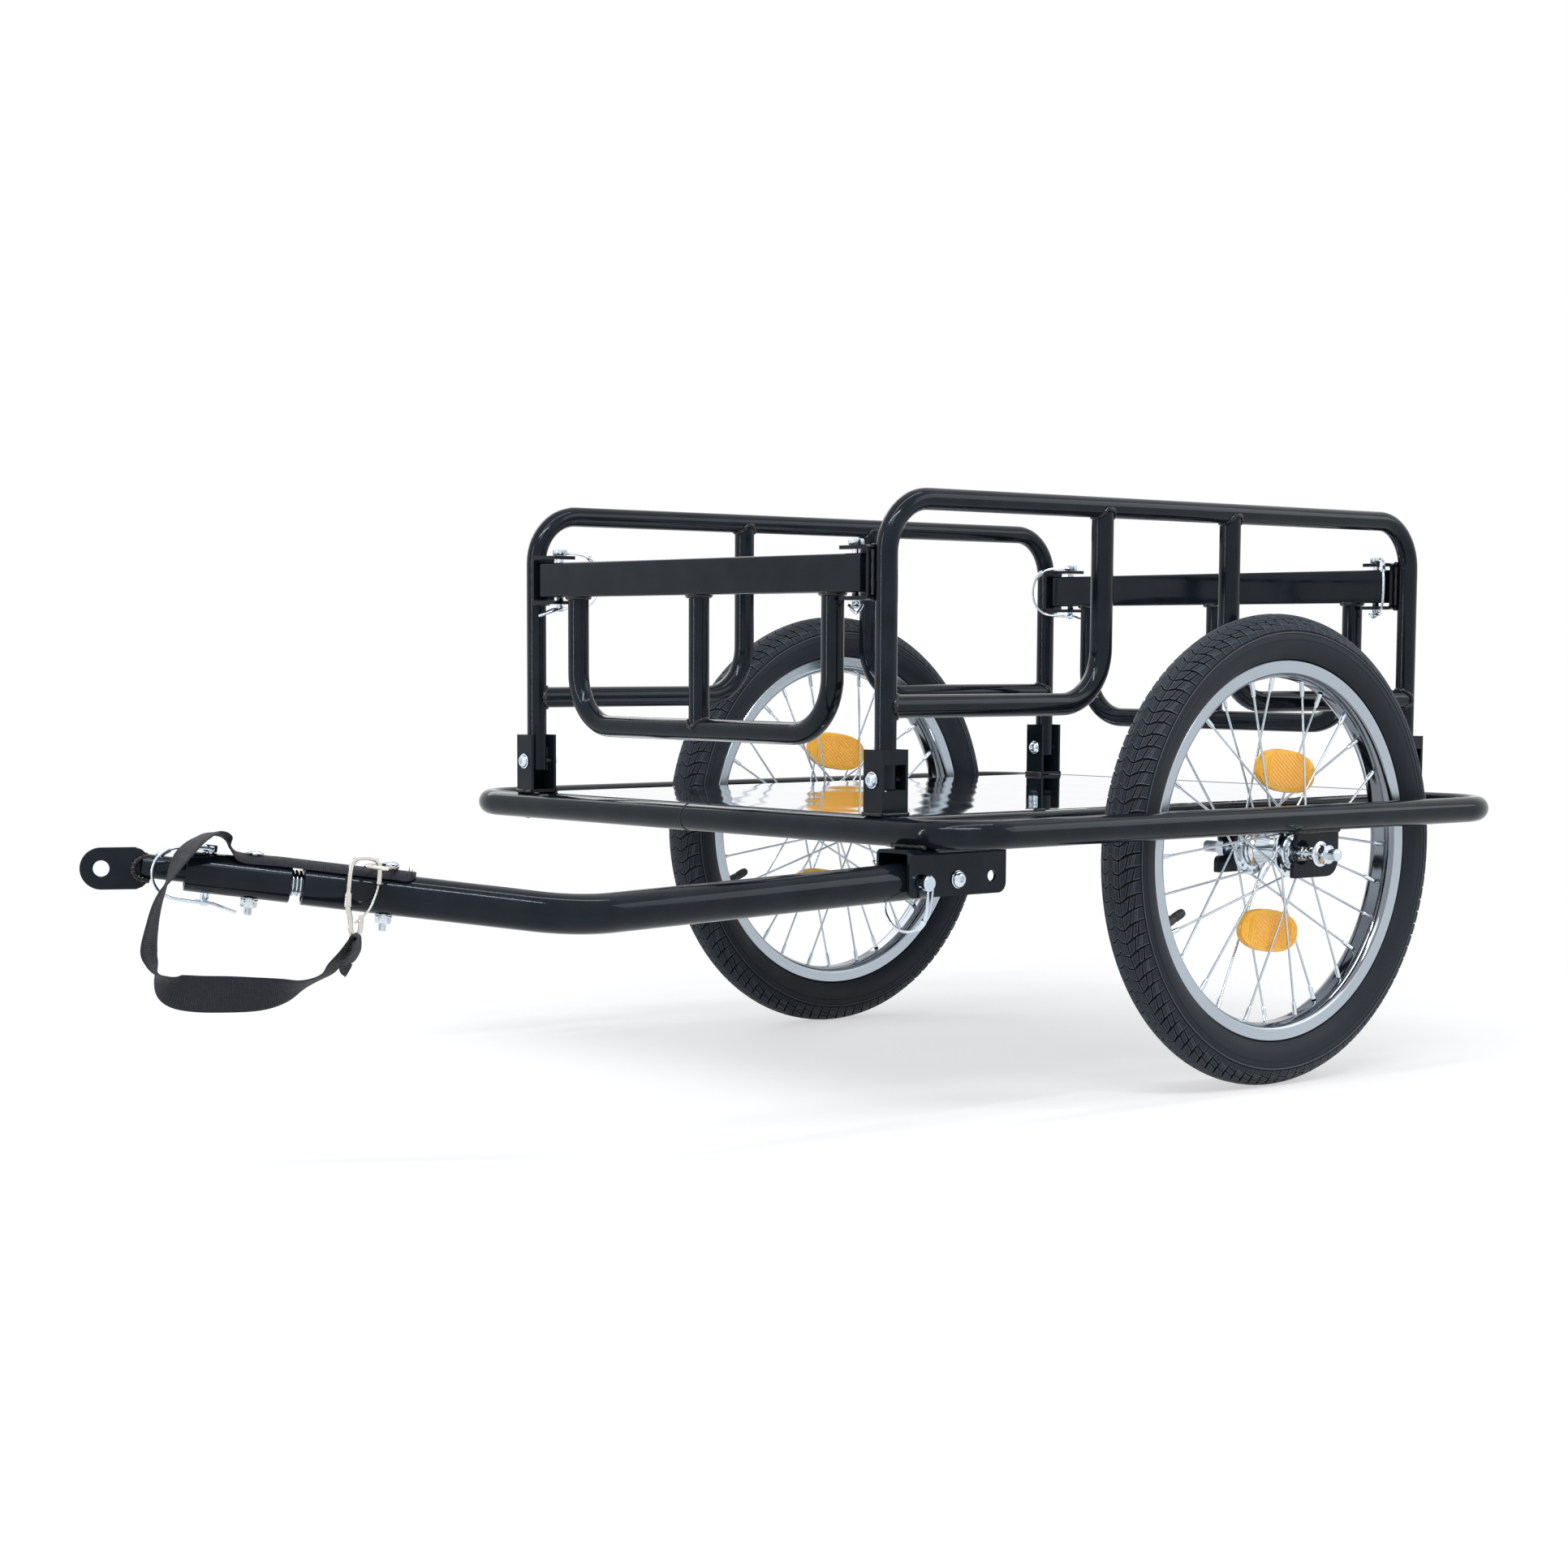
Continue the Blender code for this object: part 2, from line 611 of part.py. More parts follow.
def wire_lock_pin(name, parent, centre, along, out, radius, head_radius, low, high, reach, tail_reach, tail_rise):
    """A pin along an axis with a head at its high end and a wire bail sprung over its tail."""
    centre = Vector(centre)
    along = Vector(along).normalized()
    out = Vector(out).normalized()
    across_pin = along.cross(out)
    body = rod(name, centre + along * low, centre + along * high, radius, parent, ZINC_PLATE)
    head = rod(name + "_head", centre + along * (high - 0.0002), centre + along * (high + GATE_PIN_HEAD_HEIGHT),
               head_radius, parent, sides=14)
    join(body, head)
    bail_low = low + BAIL_WIRE + 0.0012
    bail_high = high + GATE_PIN_HEAD_HEIGHT / 2
    path = [centre + out * a + along * b + across_pin * c
            for a, b, c in bail_path(bail_high, bail_low, reach, tail_reach, tail_rise)]
    join(body, tube(name + "_bail", path, BAIL_WIRE, parent, resolution=1))
    return body


def gate_pins(panels):
    """One pin down through each corner bracket, its bail turned as it hangs in use."""
    span = GATE_BAR_HEIGHT / 2 + TAB_GAP + TAB_SHEET + GAP
    height = GATE_BAR_Z - FOLD_Z
    low = -span - GATE_PIN_TAIL
    offset = LEG_Y - GATE_PIN_Y
    bails = {
        ("front", "right"): (-1.0, 0.0, 0.042, 0.022, 0.006),
        ("front", "left"): (-0.65, -0.76, 0.025, 0.018, 0.006),
        ("rear", "right"): (0.7, -0.7, 0.038, 0.014, 0.003),
        ("rear", "left"): (0.65, 0.76, 0.032, 0.014, 0.003),
    }
    for (end, side_name), (out_x, out_y, reach, tail_reach, tail_rise) in bails.items():
        side = 1.0 if side_name == "left" else -1.0
        x = FRONT_LEG_X if end == "front" else REAR_LEG_X
        wire_lock_pin(end + "_" + side_name + "_gate_pin", panels[side_name], (x, -side * offset, height),
                      (0, 0, 1), (out_x, out_y, 0), GATE_PIN_RADIUS, GATE_PIN_HEAD_RADIUS, low, span, reach,
                      tail_reach, tail_rise)


# Wheels, modelled about their axle with the axle along Y
def rim_section():
    """Rim cross-section as (radius, across) points, running down the outside first."""
    half = RIM_HALF_WIDTH
    wall = RIM_WALL
    flange = RIM_FLANGE_RADIUS
    bed = flange - RIM_DEPTH
    shoulder = bed + RIM_SHOULDER_RISE
    flat = RIM_BED_HALF_WIDTH
    return [
        (flange, half), (flange, half - wall), (shoulder + wall, half - wall - RIM_LEAN),
        (bed + wall, flat - RIM_LEAN), (bed + wall, RIM_LEAN - flat), (shoulder + wall, -half + wall + RIM_LEAN),
        (flange, -half + wall), (flange, -half), (shoulder, -half + RIM_LEAN),
        (bed, -flat), (bed, flat), (shoulder, half - RIM_LEAN),
    ]


def tyre_section():
    """Tyre cross-section as (radius, across) points: bead, sidewall, tread and back down to the bead."""
    bead = RIM_HALF_WIDTH - RIM_WALL - RIM_LEAN - GAP
    seat = RIM_FLANGE_RADIUS + GAP
    low = RIM_FLANGE_RADIUS - TYRE_BEAD_DEPTH
    start = math.radians(-TYRE_LOW_ANGLE)
    half_height = (TYRE_HEIGHT - GAP - TYRE_BEAD_RISE) / (1.0 - math.sin(start))
    centre = TYRE_RADIUS - half_height
    outer = []
    for k in range(7):
        angle = start + (math.pi - 2 * start) * k / 6
        outer.append((centre + half_height * math.sin(angle), TYRE_HALF_WIDTH * math.cos(angle)))
    return ([(low, bead), (seat, bead), (seat, RIM_HALF_WIDTH)] + outer
            + [(seat, -RIM_HALF_WIDTH), (seat, -bead), (low, -bead)])


def spoke_ends(index):
    """Hub and rim ends of a spoke in the wheel's own frame."""
    flange = 1.0 if index % 2 == 0 else -1.0
    step = 360.0 / SPOKE_COUNT
    rim_angle = math.radians(index * step)
    pull = 1.0 if (index // 2) % 2 == 0 else -1.0
    hub_angle = rim_angle + math.radians(pull * SPOKE_CROSS_ANGLE)
    hub_radius = HUB_FLANGE_RADIUS - SPOKE_HOLE_INSET
    offset = HUB_FLANGE_SPACING / 2 - HUB_FLANGE_THICKNESS / 2 + pull * SPOKE_LACE
    start = Vector((hub_radius * math.cos(hub_angle), flange * offset, hub_radius * math.sin(hub_angle)))
    # The rim's bed is flat between its corners, so it comes a little nearer to the hub there
    rim_radius = (RIM_FLANGE_RADIUS - RIM_DEPTH) * math.cos(math.pi / RIM_SIDES) - GAP
    end = Vector((rim_radius * math.cos(rim_angle), flange * SPOKE_RIM_OFFSET, rim_radius * math.sin(rim_angle)))
    return start, end


def hub_section():
    half = HUB_FLANGE_SPACING / 2
    thick = HUB_FLANGE_THICKNESS
    bore = AXLE_RADIUS + GAP
    cup = HUB_CUP_RADIUS
    end = half + HUB_CUP_LENGTH
    return [
        (bore, end), (cup, end), (cup, half), (HUB_FLANGE_RADIUS, half), (HUB_FLANGE_RADIUS, half - thick),
        (HUB_BARREL_RADIUS + HUB_NECK, half - thick), (HUB_BARREL_RADIUS, half - thick - HUB_TAPER),
        (HUB_BARREL_RADIUS, -half + thick + HUB_TAPER), (HUB_BARREL_RADIUS + HUB_NECK, -half + thick),
        (HUB_FLANGE_RADIUS, -half + thick), (HUB_FLANGE_RADIUS, -half), (cup, -half), (cup, -end), (bore, -end),
    ]


def wheel(side_name, side, trailer):
    axis = empty(side_name + "_wheel_axis", (0.0, side * WHEEL_Y, AXLE_Z), trailer)
    ring_about_y(side_name + "_rim", rim_section(), axis, RIM_STEEL, RIM_SIDES)
    ring_about_y(side_name + "_tyre", tyre_section(), axis, RUBBER, RIM_SIDES)
    ring_about_y(side_name + "_hub", hub_section(), axis, ZINC_PLATE, 20)
    spokes_on(bpy.data.objects[side_name + "_hub"], side_name, axis)
    valve(side_name + "_valve", bpy.data.objects[side_name + "_rim"], axis)
    reflectors(side_name, side, axis)
    return axis


def ring_about_y(name, section, parent, mat, sides):
    """A closed cross-section of (radius, across) points swept round the Y axis."""
    made = turned(name, section, parent, mat, sides=sides, closed=True)
    baked(made)
    made.data.transform(Matrix.Rotation(math.radians(-90.0), 4, "X"))
    body = bmesh.new()
    body.from_mesh(made.data)
    bmesh.ops.remove_doubles(body, verts=body.verts, dist=0.00001)
    bmesh.ops.recalc_face_normals(body, faces=body.faces)
    body.to_mesh(made.data)
    body.free()
    return made


def spokes_on(hub, side_name, axis):
    def build(body):
        for index in range(SPOKE_COUNT):
            start, end = spoke_ends(index)
            along = end - start
            turn = along.to_track_quat("Z", "Y").to_matrix().to_4x4()
            made = bmesh.ops.create_cone(body, cap_ends=True, segments=5, radius1=SPOKE_RADIUS, radius2=SPOKE_RADIUS,
                                         depth=along.length)
            bmesh.ops.transform(body, matrix=Matrix.Translation((start + end) / 2) @ turn, verts=made["verts"])

    spokes = add(side_name + "_spokes", mesh_of(side_name + "_spokes", build), axis, None)
    join(hub, spokes)
    hub.modifiers[-1].use_self = True


def valve(name, rim, axis):
    """Rubber valve stem through the rim's bed, its foot against the tyre."""
    angle = math.radians(VALVE_ANGLE)
    outward = Vector((math.cos(angle), 0, math.sin(angle)))
    foot = RIM_FLANGE_RADIUS * math.cos(math.pi / RIM_SIDES) - TYRE_BEAD_DEPTH - 3 * GAP
    tip = outward * (RIM_FLANGE_RADIUS - RIM_DEPTH - VALVE_LENGTH)
    stem = rod(name, outward * foot, tip, VALVE_RADIUS, axis, TUBE_RUBBER, sides=10)
    join(stem, rod(name + "_foot", outward * foot, outward * (foot - VALVE_FOOT_HEIGHT), VALVE_FOOT_RADIUS, axis))
    cut(rim, rod(name + "_rim_hole", outward * foot, tip, VALVE_RADIUS + GAP, axis, sides=10))


def reflectors(side_name, side, axis):
    """Two oval reflectors lying along the rim's turn, clipped between the spokes of both flanges."""
    for label, direction in (("upper", 1.0), ("lower", -1.0)):
        tilt = math.radians(90.0 + 8.0)
        centre = Vector((math.cos(tilt), 0, math.sin(tilt))) * (direction * REFLECTOR_RADIUS)
        outline = []
        for k in range(16):
            angle = 2 * math.pi * k / 16
            x = REFLECTOR_LENGTH / 2 * math.copysign(abs(math.cos(angle)) ** 0.8, math.cos(angle))
            z = REFLECTOR_HEIGHT / 2 * math.copysign(abs(math.sin(angle)) ** 0.8, math.sin(angle))
            outline.append((x, z))
        plate = sheet_outline(side_name + "_reflector_" + label, outline, REFLECTOR_THICKNESS, axis, AMBER)
        centre = centre + Vector((0, side * REFLECTOR_OFFSET, 0))
        plate.data.transform(Matrix.Translation(centre) @ Matrix.Rotation(-(tilt - math.pi / 2), 4, "Y"))


def axles(side_name, side, trailer):
    """Threaded axle with its cones, and a flanged nut outside each dropout."""
    def point(offset):
        return (0.0, side * (WHEEL_Y + offset), AXLE_Z)

    outer = RING_HALF_WIDTH - WHEEL_Y
    inner = INNER_RAIL_Y - WHEEL_Y
    half = DROPOUT_SHEET / 2
    hub_end = HUB_FLANGE_SPACING / 2 + HUB_CUP_LENGTH
    axle = rod(side_name + "_axle", point(-AXLE_INNER_REACH), point(AXLE_OUTER_REACH), AXLE_RADIUS, trailer, ZINC_PLATE)
    outer_cone = rod(side_name + "_outer_cone", point(hub_end + GAP), point(outer - half - GAP), CONE_RADIUS, trailer)
    inner_cone = rod(side_name + "_inner_cone", point(-hub_end - GAP), point(inner + half + GAP), CONE_RADIUS, trailer)
    join(axle, outer_cone, inner_cone)
    for label, start, direction in (("outer", outer + half + OUTER_NUT_STANDOFF, 1.0), ("inner", inner - half - GAP, -1.0)):
        name = side_name + "_" + label + "_axle_nut"
        nut = rod(name, point(start), point(start + direction * AXLE_WASHER_HEIGHT), AXLE_WASHER_RADIUS, trailer,
                  ZINC_PLATE)
        hexagon = rod(name + "_hex", point(start + direction * AXLE_WASHER_HEIGHT * 0.5),
                      point(start + direction * (AXLE_WASHER_HEIGHT + AXLE_NUT_HEIGHT)), AXLE_NUT_RADIUS, trailer,
                      sides=6)
        join(nut, hexagon)
        cut(nut, rod(name + "_bore", point(start - direction * 0.01), point(start + direction * 0.03),
                     AXLE_RADIUS + GAP, trailer))


def dropout(name, y, rail_z, rail_radius, trailer):
    """Plate under a rail, with a slot for the axle that opens to the front."""
    place = empty(name + "_place", (0.0, y, 0.0), trailer)
    top = rail_z - rail_radius - GAP
    low = AXLE_Z - DROPOUT_DROP
    front = DROPOUT_FRONT
    rear = front - DROPOUT_LENGTH
    slot = AXLE_RADIUS + 0.0008
    lip = 0.005
    outline = arc((front - 0.0015, low + 0.0015), 0.0015, 270.0, 360.0, 2)
    outline += arc((front - lip, AXLE_Z - slot - lip), lip, 0.0, 90.0, 4)
    outline += list(reversed(arc((0.0, AXLE_Z), slot, 90.0, 270.0, 6)))
    outline += arc((front - 0.007, AXLE_Z + slot + 0.003), 0.003, 270.0, 360.0, 3)
    outline += [(front - 0.004, top), (rear, top)]
    outline += arc((rear + DROPOUT_CORNER, low + DROPOUT_CORNER), DROPOUT_CORNER, 180.0, 270.0, 5)
    return sheet_outline(name, outline, DROPOUT_SHEET, place, POWDER)


# Tow arm, modelled about its pivot bolt
def arm_frame():
    """Origin and axes of the arm's front run, relative to the pivot."""
    turn = math.radians(ARM_TURN)
    rise = math.radians(ARM_RISE)
    along = Vector((math.cos(rise) * math.cos(turn), math.cos(rise) * math.sin(turn), math.sin(rise)))
    left = Vector((-math.sin(turn), math.cos(turn), 0.0))
    up = along.cross(left)
    corner = Vector((ARM_CORNER_X - ARM_PIVOT_X, 0.0, ARM_CORNER_Z - ARM_PIVOT_Z))
    return corner, along, left, up


def on_arm(u, w=0.0, v=0.0):
    corner, along, left, up = arm_frame()
    return corner + along * u + left * w + up * v


def pin_place():
    """The locking pin's place, on the arm's rear run and relative to the pivot."""
    corner = arm_frame()[0]
    return corner.normalized() * ARM_HOLE_PITCH


def arm_bracket(trailer):
    """Channel under the front rail, open below, with three holes in line."""
    place = empty("arm_bracket_place", (ARM_PIVOT_X, ARM_Y, ARM_PIVOT_Z), trailer)
    half = ARM_TUBE_RADIUS + ARM_BRACKET_SIDE_GAP + ARM_BRACKET_SHEET
    top = RING_Z - RING_TUBE_RADIUS - GAP - ARM_PIVOT_Z
    low = top - ARM_BRACKET_HEIGHT
    sheet = ARM_BRACKET_SHEET
    outline = arc((ARM_BRACKET_FRONT - 0.004, low + 0.004), 0.004, 270.0, 360.0, 3)
    outline += [(ARM_BRACKET_FRONT, top), (-ARM_BRACKET_REAR, top)]
    outline += arc((-ARM_BRACKET_REAR + 0.008, low + 0.008), 0.008, 180.0, 270.0, 4)
    body = sheet_outline("arm_bracket", outline, 2 * half, place, POWDER)
    inside = box("arm_bracket_inside", (-0.1, -half + sheet, low - 0.01), (0.1, half - sheet, top - sheet), place)
    cut(body, inside)
    slope = math.atan2(ARM_CORNER_DROP, ARM_REAR_LENGTH)
    back_hole = (-ARM_HOLE_PITCH * math.cos(slope), ARM_HOLE_PITCH * math.sin(slope))
    for x, z in ((0.0, 0.0), back_hole):
        cut(body, rod("arm_bracket_hole", (x, -0.03, z), (x, 0.03, z), ARM_BOLT_RADIUS + GAP, place))
    # The locking hole runs out at the lower edge, so that the pin can stay in the swinging arm
    slot = ARM_PIN_RADIUS + GAP
    path = arc((0, 0), ARM_HOLE_PITCH + slot, 8.0, -45.0, 6)
    path += list(reversed(arc((0, 0), ARM_HOLE_PITCH - slot, 8.0, -45.0, 6)))
    cut(body, sheet_outline("arm_bracket_slot", path, 0.08, place))
    return body


def tow_arm(trailer):
    pivot = empty("tow_arm_axis", (ARM_PIVOT_X, ARM_Y, ARM_PIVOT_Z), trailer)
    corner = arm_frame()[0]
    back = (Vector((0, 0, 0)) - corner).normalized()
    start = Vector((0, 0, 0)) + back * ARM_TAIL
    path = fillet([start, corner, on_arm(ARM_END)], ARM_BEND_RADIUS, steps=8)
    arm = tube("tow_arm", path, ARM_TUBE_RADIUS, pivot, POWDER)
    bore_depth = SPRING_PITCH * SPRING_TURNS
    cut(arm, rod("tow_arm_mouth", on_arm(ARM_END - bore_depth), on_arm(ARM_END + 0.01),
                 ARM_TUBE_RADIUS - ARM_WALL, pivot, sides=16))
    hole = ARM_BOLT_RADIUS + GAP
    for at in (Vector((0, 0, 0)), pin_place()):
        cut(arm, rod("tow_arm_hole", (at.x, -0.03, at.z), (at.x, 0.03, at.z), hole, pivot))
    cut(arm, rod("tow_arm_bolt_hole", on_arm(ARM_BOLT_AT, 0, -0.03), on_arm(ARM_BOLT_AT, 0, 0.03),
                 SMALL_BOLT_RADIUS + GAP, pivot))
    return pivot


def arm_fasteners(trailer, pivot):
    half = ARM_TUBE_RADIUS + ARM_BRACKET_SIDE_GAP + ARM_BRACKET_SHEET + GAP
    place = empty("arm_bolt_place", (ARM_PIVOT_X, ARM_Y, ARM_PIVOT_Z), trailer)
    bolt = rod("arm_pivot_bolt", (0, -half - 0.009, 0), (0, half + 0.001, 0), ARM_BOLT_RADIUS, place, ZINC_PLATE)
    join(bolt, rod("arm_pivot_head", (0, half, 0), (0, half + 0.0045, 0), 0.0068, place, end_radius=0.0055))
    join(bolt, rod("arm_pivot_nut", (0, -half - 0.0065, 0), (0, -half, 0), 0.0075, place, sides=6))
    wire_lock_pin("arm_lock_pin", pivot, pin_place(), (0, 1, 0), (0.0, 0.0, -1.0), ARM_PIN_RADIUS,
                  ARM_PIN_HEAD_RADIUS, -half - 0.008, half + ARM_PIN_STANDOFF, 0.038, 0.013, 0.012)


def coupler(pivot):
    flex = (ARM_END + SLEEVE_START) / 2
    spring_mid = on_arm(flex)
    length = SPRING_PITCH * SPRING_TURNS
    corner, along, left, up = arm_frame()
    steps = 9 * SPRING_TURNS
    path = []
    for k in range(steps + 1):
        angle = 2 * math.pi * SPRING_TURNS * k / steps
        offset = -length / 2 + length * k / steps
        path.append(spring_mid + along * offset + left * (SPRING_RADIUS * math.cos(angle) - SPRING_WIRE * math.cos(angle))
                    + up * (SPRING_RADIUS * math.sin(angle) - SPRING_WIRE * math.sin(angle)))
    print("spring turn gap, mm:", round((SPRING_PITCH - 2 * SPRING_WIRE) * 1000, 3))
    tube("coupler_spring", path, SPRING_WIRE, pivot, ZINC_PLATE, resolution=1)
    sleeve = rod("coupler_sleeve", on_arm(SLEEVE_START), on_arm(SLEEVE_END), SLEEVE_RADIUS, pivot, POWDER, sides=20)
    cut(sleeve, rod("coupler_sleeve_bore", on_arm(SLEEVE_START - 0.01), on_arm(SLEEVE_END + 0.01),
                    SLEEVE_RADIUS - SLEEVE_WALL, pivot, sides=20))
    for at in (COUPLER_BOLT_AT, HITCH_PIN_AT):
        cut(sleeve, rod("sleeve_hole", on_arm(at, 0, -0.03), on_arm(at, 0, 0.03), SMALL_BOLT_RADIUS + GAP, pivot))
    hitch_stub(pivot)
    small_bolt("sleeve_bolt", COUPLER_BOLT_AT, SLEEVE_RADIUS, 0.0065, pivot)
    small_bolt("arm_strap_bolt", ARM_BOLT_AT, ARM_TUBE_RADIUS, 0.0065, pivot, lift=2 * RING_WIRE + GAP)
    corner, along, left, up = arm_frame()
    reach = SLEEVE_RADIUS + GAP
    out = along * math.cos(math.radians(HITCH_BAIL_TURN)) + left * math.sin(math.radians(HITCH_BAIL_TURN))
    wire_lock_pin("hitch_pin", pivot, on_arm(HITCH_PIN_AT), up, out, HITCH_PIN_RADIUS, 0.0048, -reach - 0.008, reach,
                  0.040, 0.024, 0.005)


def hitch_stub(pivot):
    """Stub tube with a level plate welded to it; the plate's hole takes the bicycle's axle."""
    stub = rod("hitch_stub", on_arm(STUB_START), on_arm(PLATE_START + 0.006), STUB_RADIUS, pivot, POWDER, sides=16)
    corner, along, left, up = arm_frame()
    level = Vector((along.x, along.y, 0.0)).normalized()
    half = PLATE_HEIGHT / 2
    outline = arc((PLATE_LENGTH - half, 0.0), half, -90.0, 90.0, 10)
    outline += [(0.008, half), (0.0, half - 0.006), (0.0, -half + 0.006), (0.008, -half)]
    plate = sheet_outline("hitch_plate", outline, PLATE_THICKNESS, pivot)
    base = on_arm(PLATE_START, 0, 0) + Vector((0, 0, -PLATE_DROP + 0.0035))
    turn = Matrix((level, left, Vector((0, 0, 1)))).transposed().to_4x4()
    plate.data.transform(Matrix.Translation(base) @ turn)
    join(stub, plate)
    eye = base + level * (PLATE_LENGTH - half)
    face = PLATE_THICKNESS / 2
    wide = PLATE_HOLE_RADIUS + 0.0046
    profile = [(0.0, face + 0.001), (wide, face + 0.001), (PLATE_HOLE_RADIUS, face - 0.0018),
               (PLATE_HOLE_RADIUS, -face + 0.0018), (wide, -face - 0.001), (0.0, -face - 0.001)]
    eye_cutter = baked(turned("hitch_eye", profile, pivot, sides=20))
    eye_cutter.data.transform(Matrix.Translation(eye) @ left.to_track_quat("Z", "Y").to_matrix().to_4x4())
    cut(stub, eye_cutter)
    cut(stub, rod("hitch_stub_bore", on_arm(STUB_START - 0.01), on_arm(PLATE_START - 0.012), STUB_RADIUS - STUB_WALL,
                  pivot, sides=16))
    for at in (COUPLER_BOLT_AT, HITCH_PIN_AT):
        cut(stub, rod("stub_hole", on_arm(at, 0, -0.03), on_arm(at, 0, 0.03), SMALL_BOLT_RADIUS + GAP, pivot))


def small_bolt(name, at, tube_radius, head_radius, pivot, lift=0.0):
    """Through bolt with its head above the strap, raised by what it also holds, and a flanged nut below."""
    top = tube_radius + STRAP_THICKNESS + 3 * GAP + lift
    low = -tube_radius - GAP
    bolt = rod(name, on_arm(at, 0, low - 0.011), on_arm(at, 0, top + 0.0005), SMALL_BOLT_RADIUS, pivot, ZINC_PLATE)
    join(bolt, rod(name + "_head", on_arm(at, 0, top), on_arm(at, 0, top + 0.0025), head_radius, pivot,
                   end_radius=head_radius * 0.6))
    join(bolt, rod(name + "_flange", on_arm(at, 0, low - 0.0015), on_arm(at, 0, low), 0.006, pivot))
    join(bolt, rod(name + "_nut", on_arm(at, 0, low - 0.0055), on_arm(at, 0, low - 0.001), 0.0055, pivot, sides=6))


# Safety strap: its route beside the arm, chosen by hand as (along, left, up) with the band's width direction
def strap_route():
    """Centre points on the arm's own axes, each with the width direction as (along, left, up) and
    the radius that the band wraps over, 0 where it hangs free."""
    arm_top = ARM_TUBE_RADIUS + 2 * GAP
    sleeve_top = SLEEVE_RADIUS + 2 * GAP
    flat = (0.0, 1.0, 0.0)
    arm, sleeve, pin = ARM_BOLT_AT, COUPLER_BOLT_AT, HITCH_PIN_AT
    return [
        ((arm - 0.018, 0.0, 0.0), flat, arm_top),
        ((arm + 0.029, 0.0, 0.0), flat, arm_top),
        ((ARM_END - 0.002, 0.0, 0.0), flat, arm_top),
        ((SLEEVE_START + 0.008, 0.0, 0.0), flat, sleeve_top + GAP),
        ((sleeve - 0.0085, 0.0, 0.0), flat, sleeve_top),
        ((sleeve + 0.0085, 0.0, 0.0), flat, sleeve_top),
        ((pin - 0.0142, 0.0, 0.0171), flat, 0.0),
        ((pin - 0.0097, 0.001, 0.0231), flat, 0.0),
        ((pin - 0.0045, 0.004, 0.0260), (-0.25, 0.95, 0.10), 0.0),
        ((pin + 0.0030, 0.0115, 0.0257), (-0.40, 0.85, 0.20), 0.0),
        ((pin + 0.0115, 0.0203, 0.0200), (-0.40, 0.85, 0.10), 0.0),
        ((pin + 0.0185, 0.0264, 0.0108), (-0.35, 0.90, 0.0), 0.0),
        ((pin + 0.0240, 0.0285, -0.0009), (-0.20, 0.97, 0.10), 0.0),
        ((pin + 0.0280, 0.028, -0.0118), (0.10, 0.99, 0.15), 0.0),
        ((pin + 0.0309, 0.028, -0.0229), (0.25, 0.95, 0.10), 0.0),
        ((pin + 0.0324, 0.028, -0.0366), (0.35, 0.93, 0.0), 0.0),
        ((pin + 0.0327, 0.028, -0.0518), (0.45, 0.90, 0.0), 0.0),
        ((pin + 0.0295, 0.028, -0.0606), (0.45, 0.85, 0.25), 0.0),
        ((pin + 0.0236, 0.028, -0.0697), (0.30, 0.65, 0.65), 0.0),
        ((pin + 0.0143, 0.028, -0.0767), (0.10, 0.40, 0.92), 0.0),
        ((pin, 0.028, -0.0776), (0.0, 0.20, 1.0), 0.0),
        ((pin - 0.0210, 0.028, -0.0757), (0.0, 0.20, 1.0), 0.0),
        ((pin - 0.0419, 0.028, -0.0732), (0.10, 0.40, 0.90), 0.0),
        ((pin - 0.0572, 0.028, -0.0692), (0.15, 0.70, 0.70), 0.0),
        ((pin - 0.0698, 0.028, -0.0634), (0.20, 0.95, 0.25), 0.0),
        ((arm + 0.0373, 0.028, -0.0566), (0.35, 0.93, 0.0), 0.0),
        ((arm + 0.0314, 0.028, -0.0494), (0.45, 0.90, 0.05), 0.0),
        ((arm + 0.0256, 0.028, -0.0406), (0.40, 0.92, 0.05), 0.0),
        ((arm + 0.0215, 0.028, -0.0309), (0.30, 0.95, 0.0), 0.0),
    ]


def strap_section(place, width, wrap, ahead):
    """The band's corner points, in flats that wrap over a tube or in one plane where it hangs free."""
    corner, along, left, up = arm_frame()
    half = STRAP_THICKNESS / 2
    spots = (-1.0, -0.6, -0.2, 0.2, 0.6, 1.0)
    if wrap:
        middle = wrap + half
        turn = STRAP_WIDTH / 2 / middle
        rays = [left * math.sin(turn * a) + up * math.cos(turn * a) for a in spots]
        centre = on_arm(place[0], 0, 0)
        low = [centre + ray * wrap for ray in rays]
        high = [centre + ray * (wrap + STRAP_THICKNESS) for ray in rays]
    else:
        side = along * width[0] + left * width[1] + up * width[2]
        side = (side - ahead * side.dot(ahead)).normalized() * (STRAP_WIDTH / 2)
        normal = ahead.cross(side).normalized() * half
        low = [on_arm(*place) + side * a - normal for a in spots]
        high = [on_arm(*place) + side * a + normal for a in spots]
    return low + list(reversed(high))


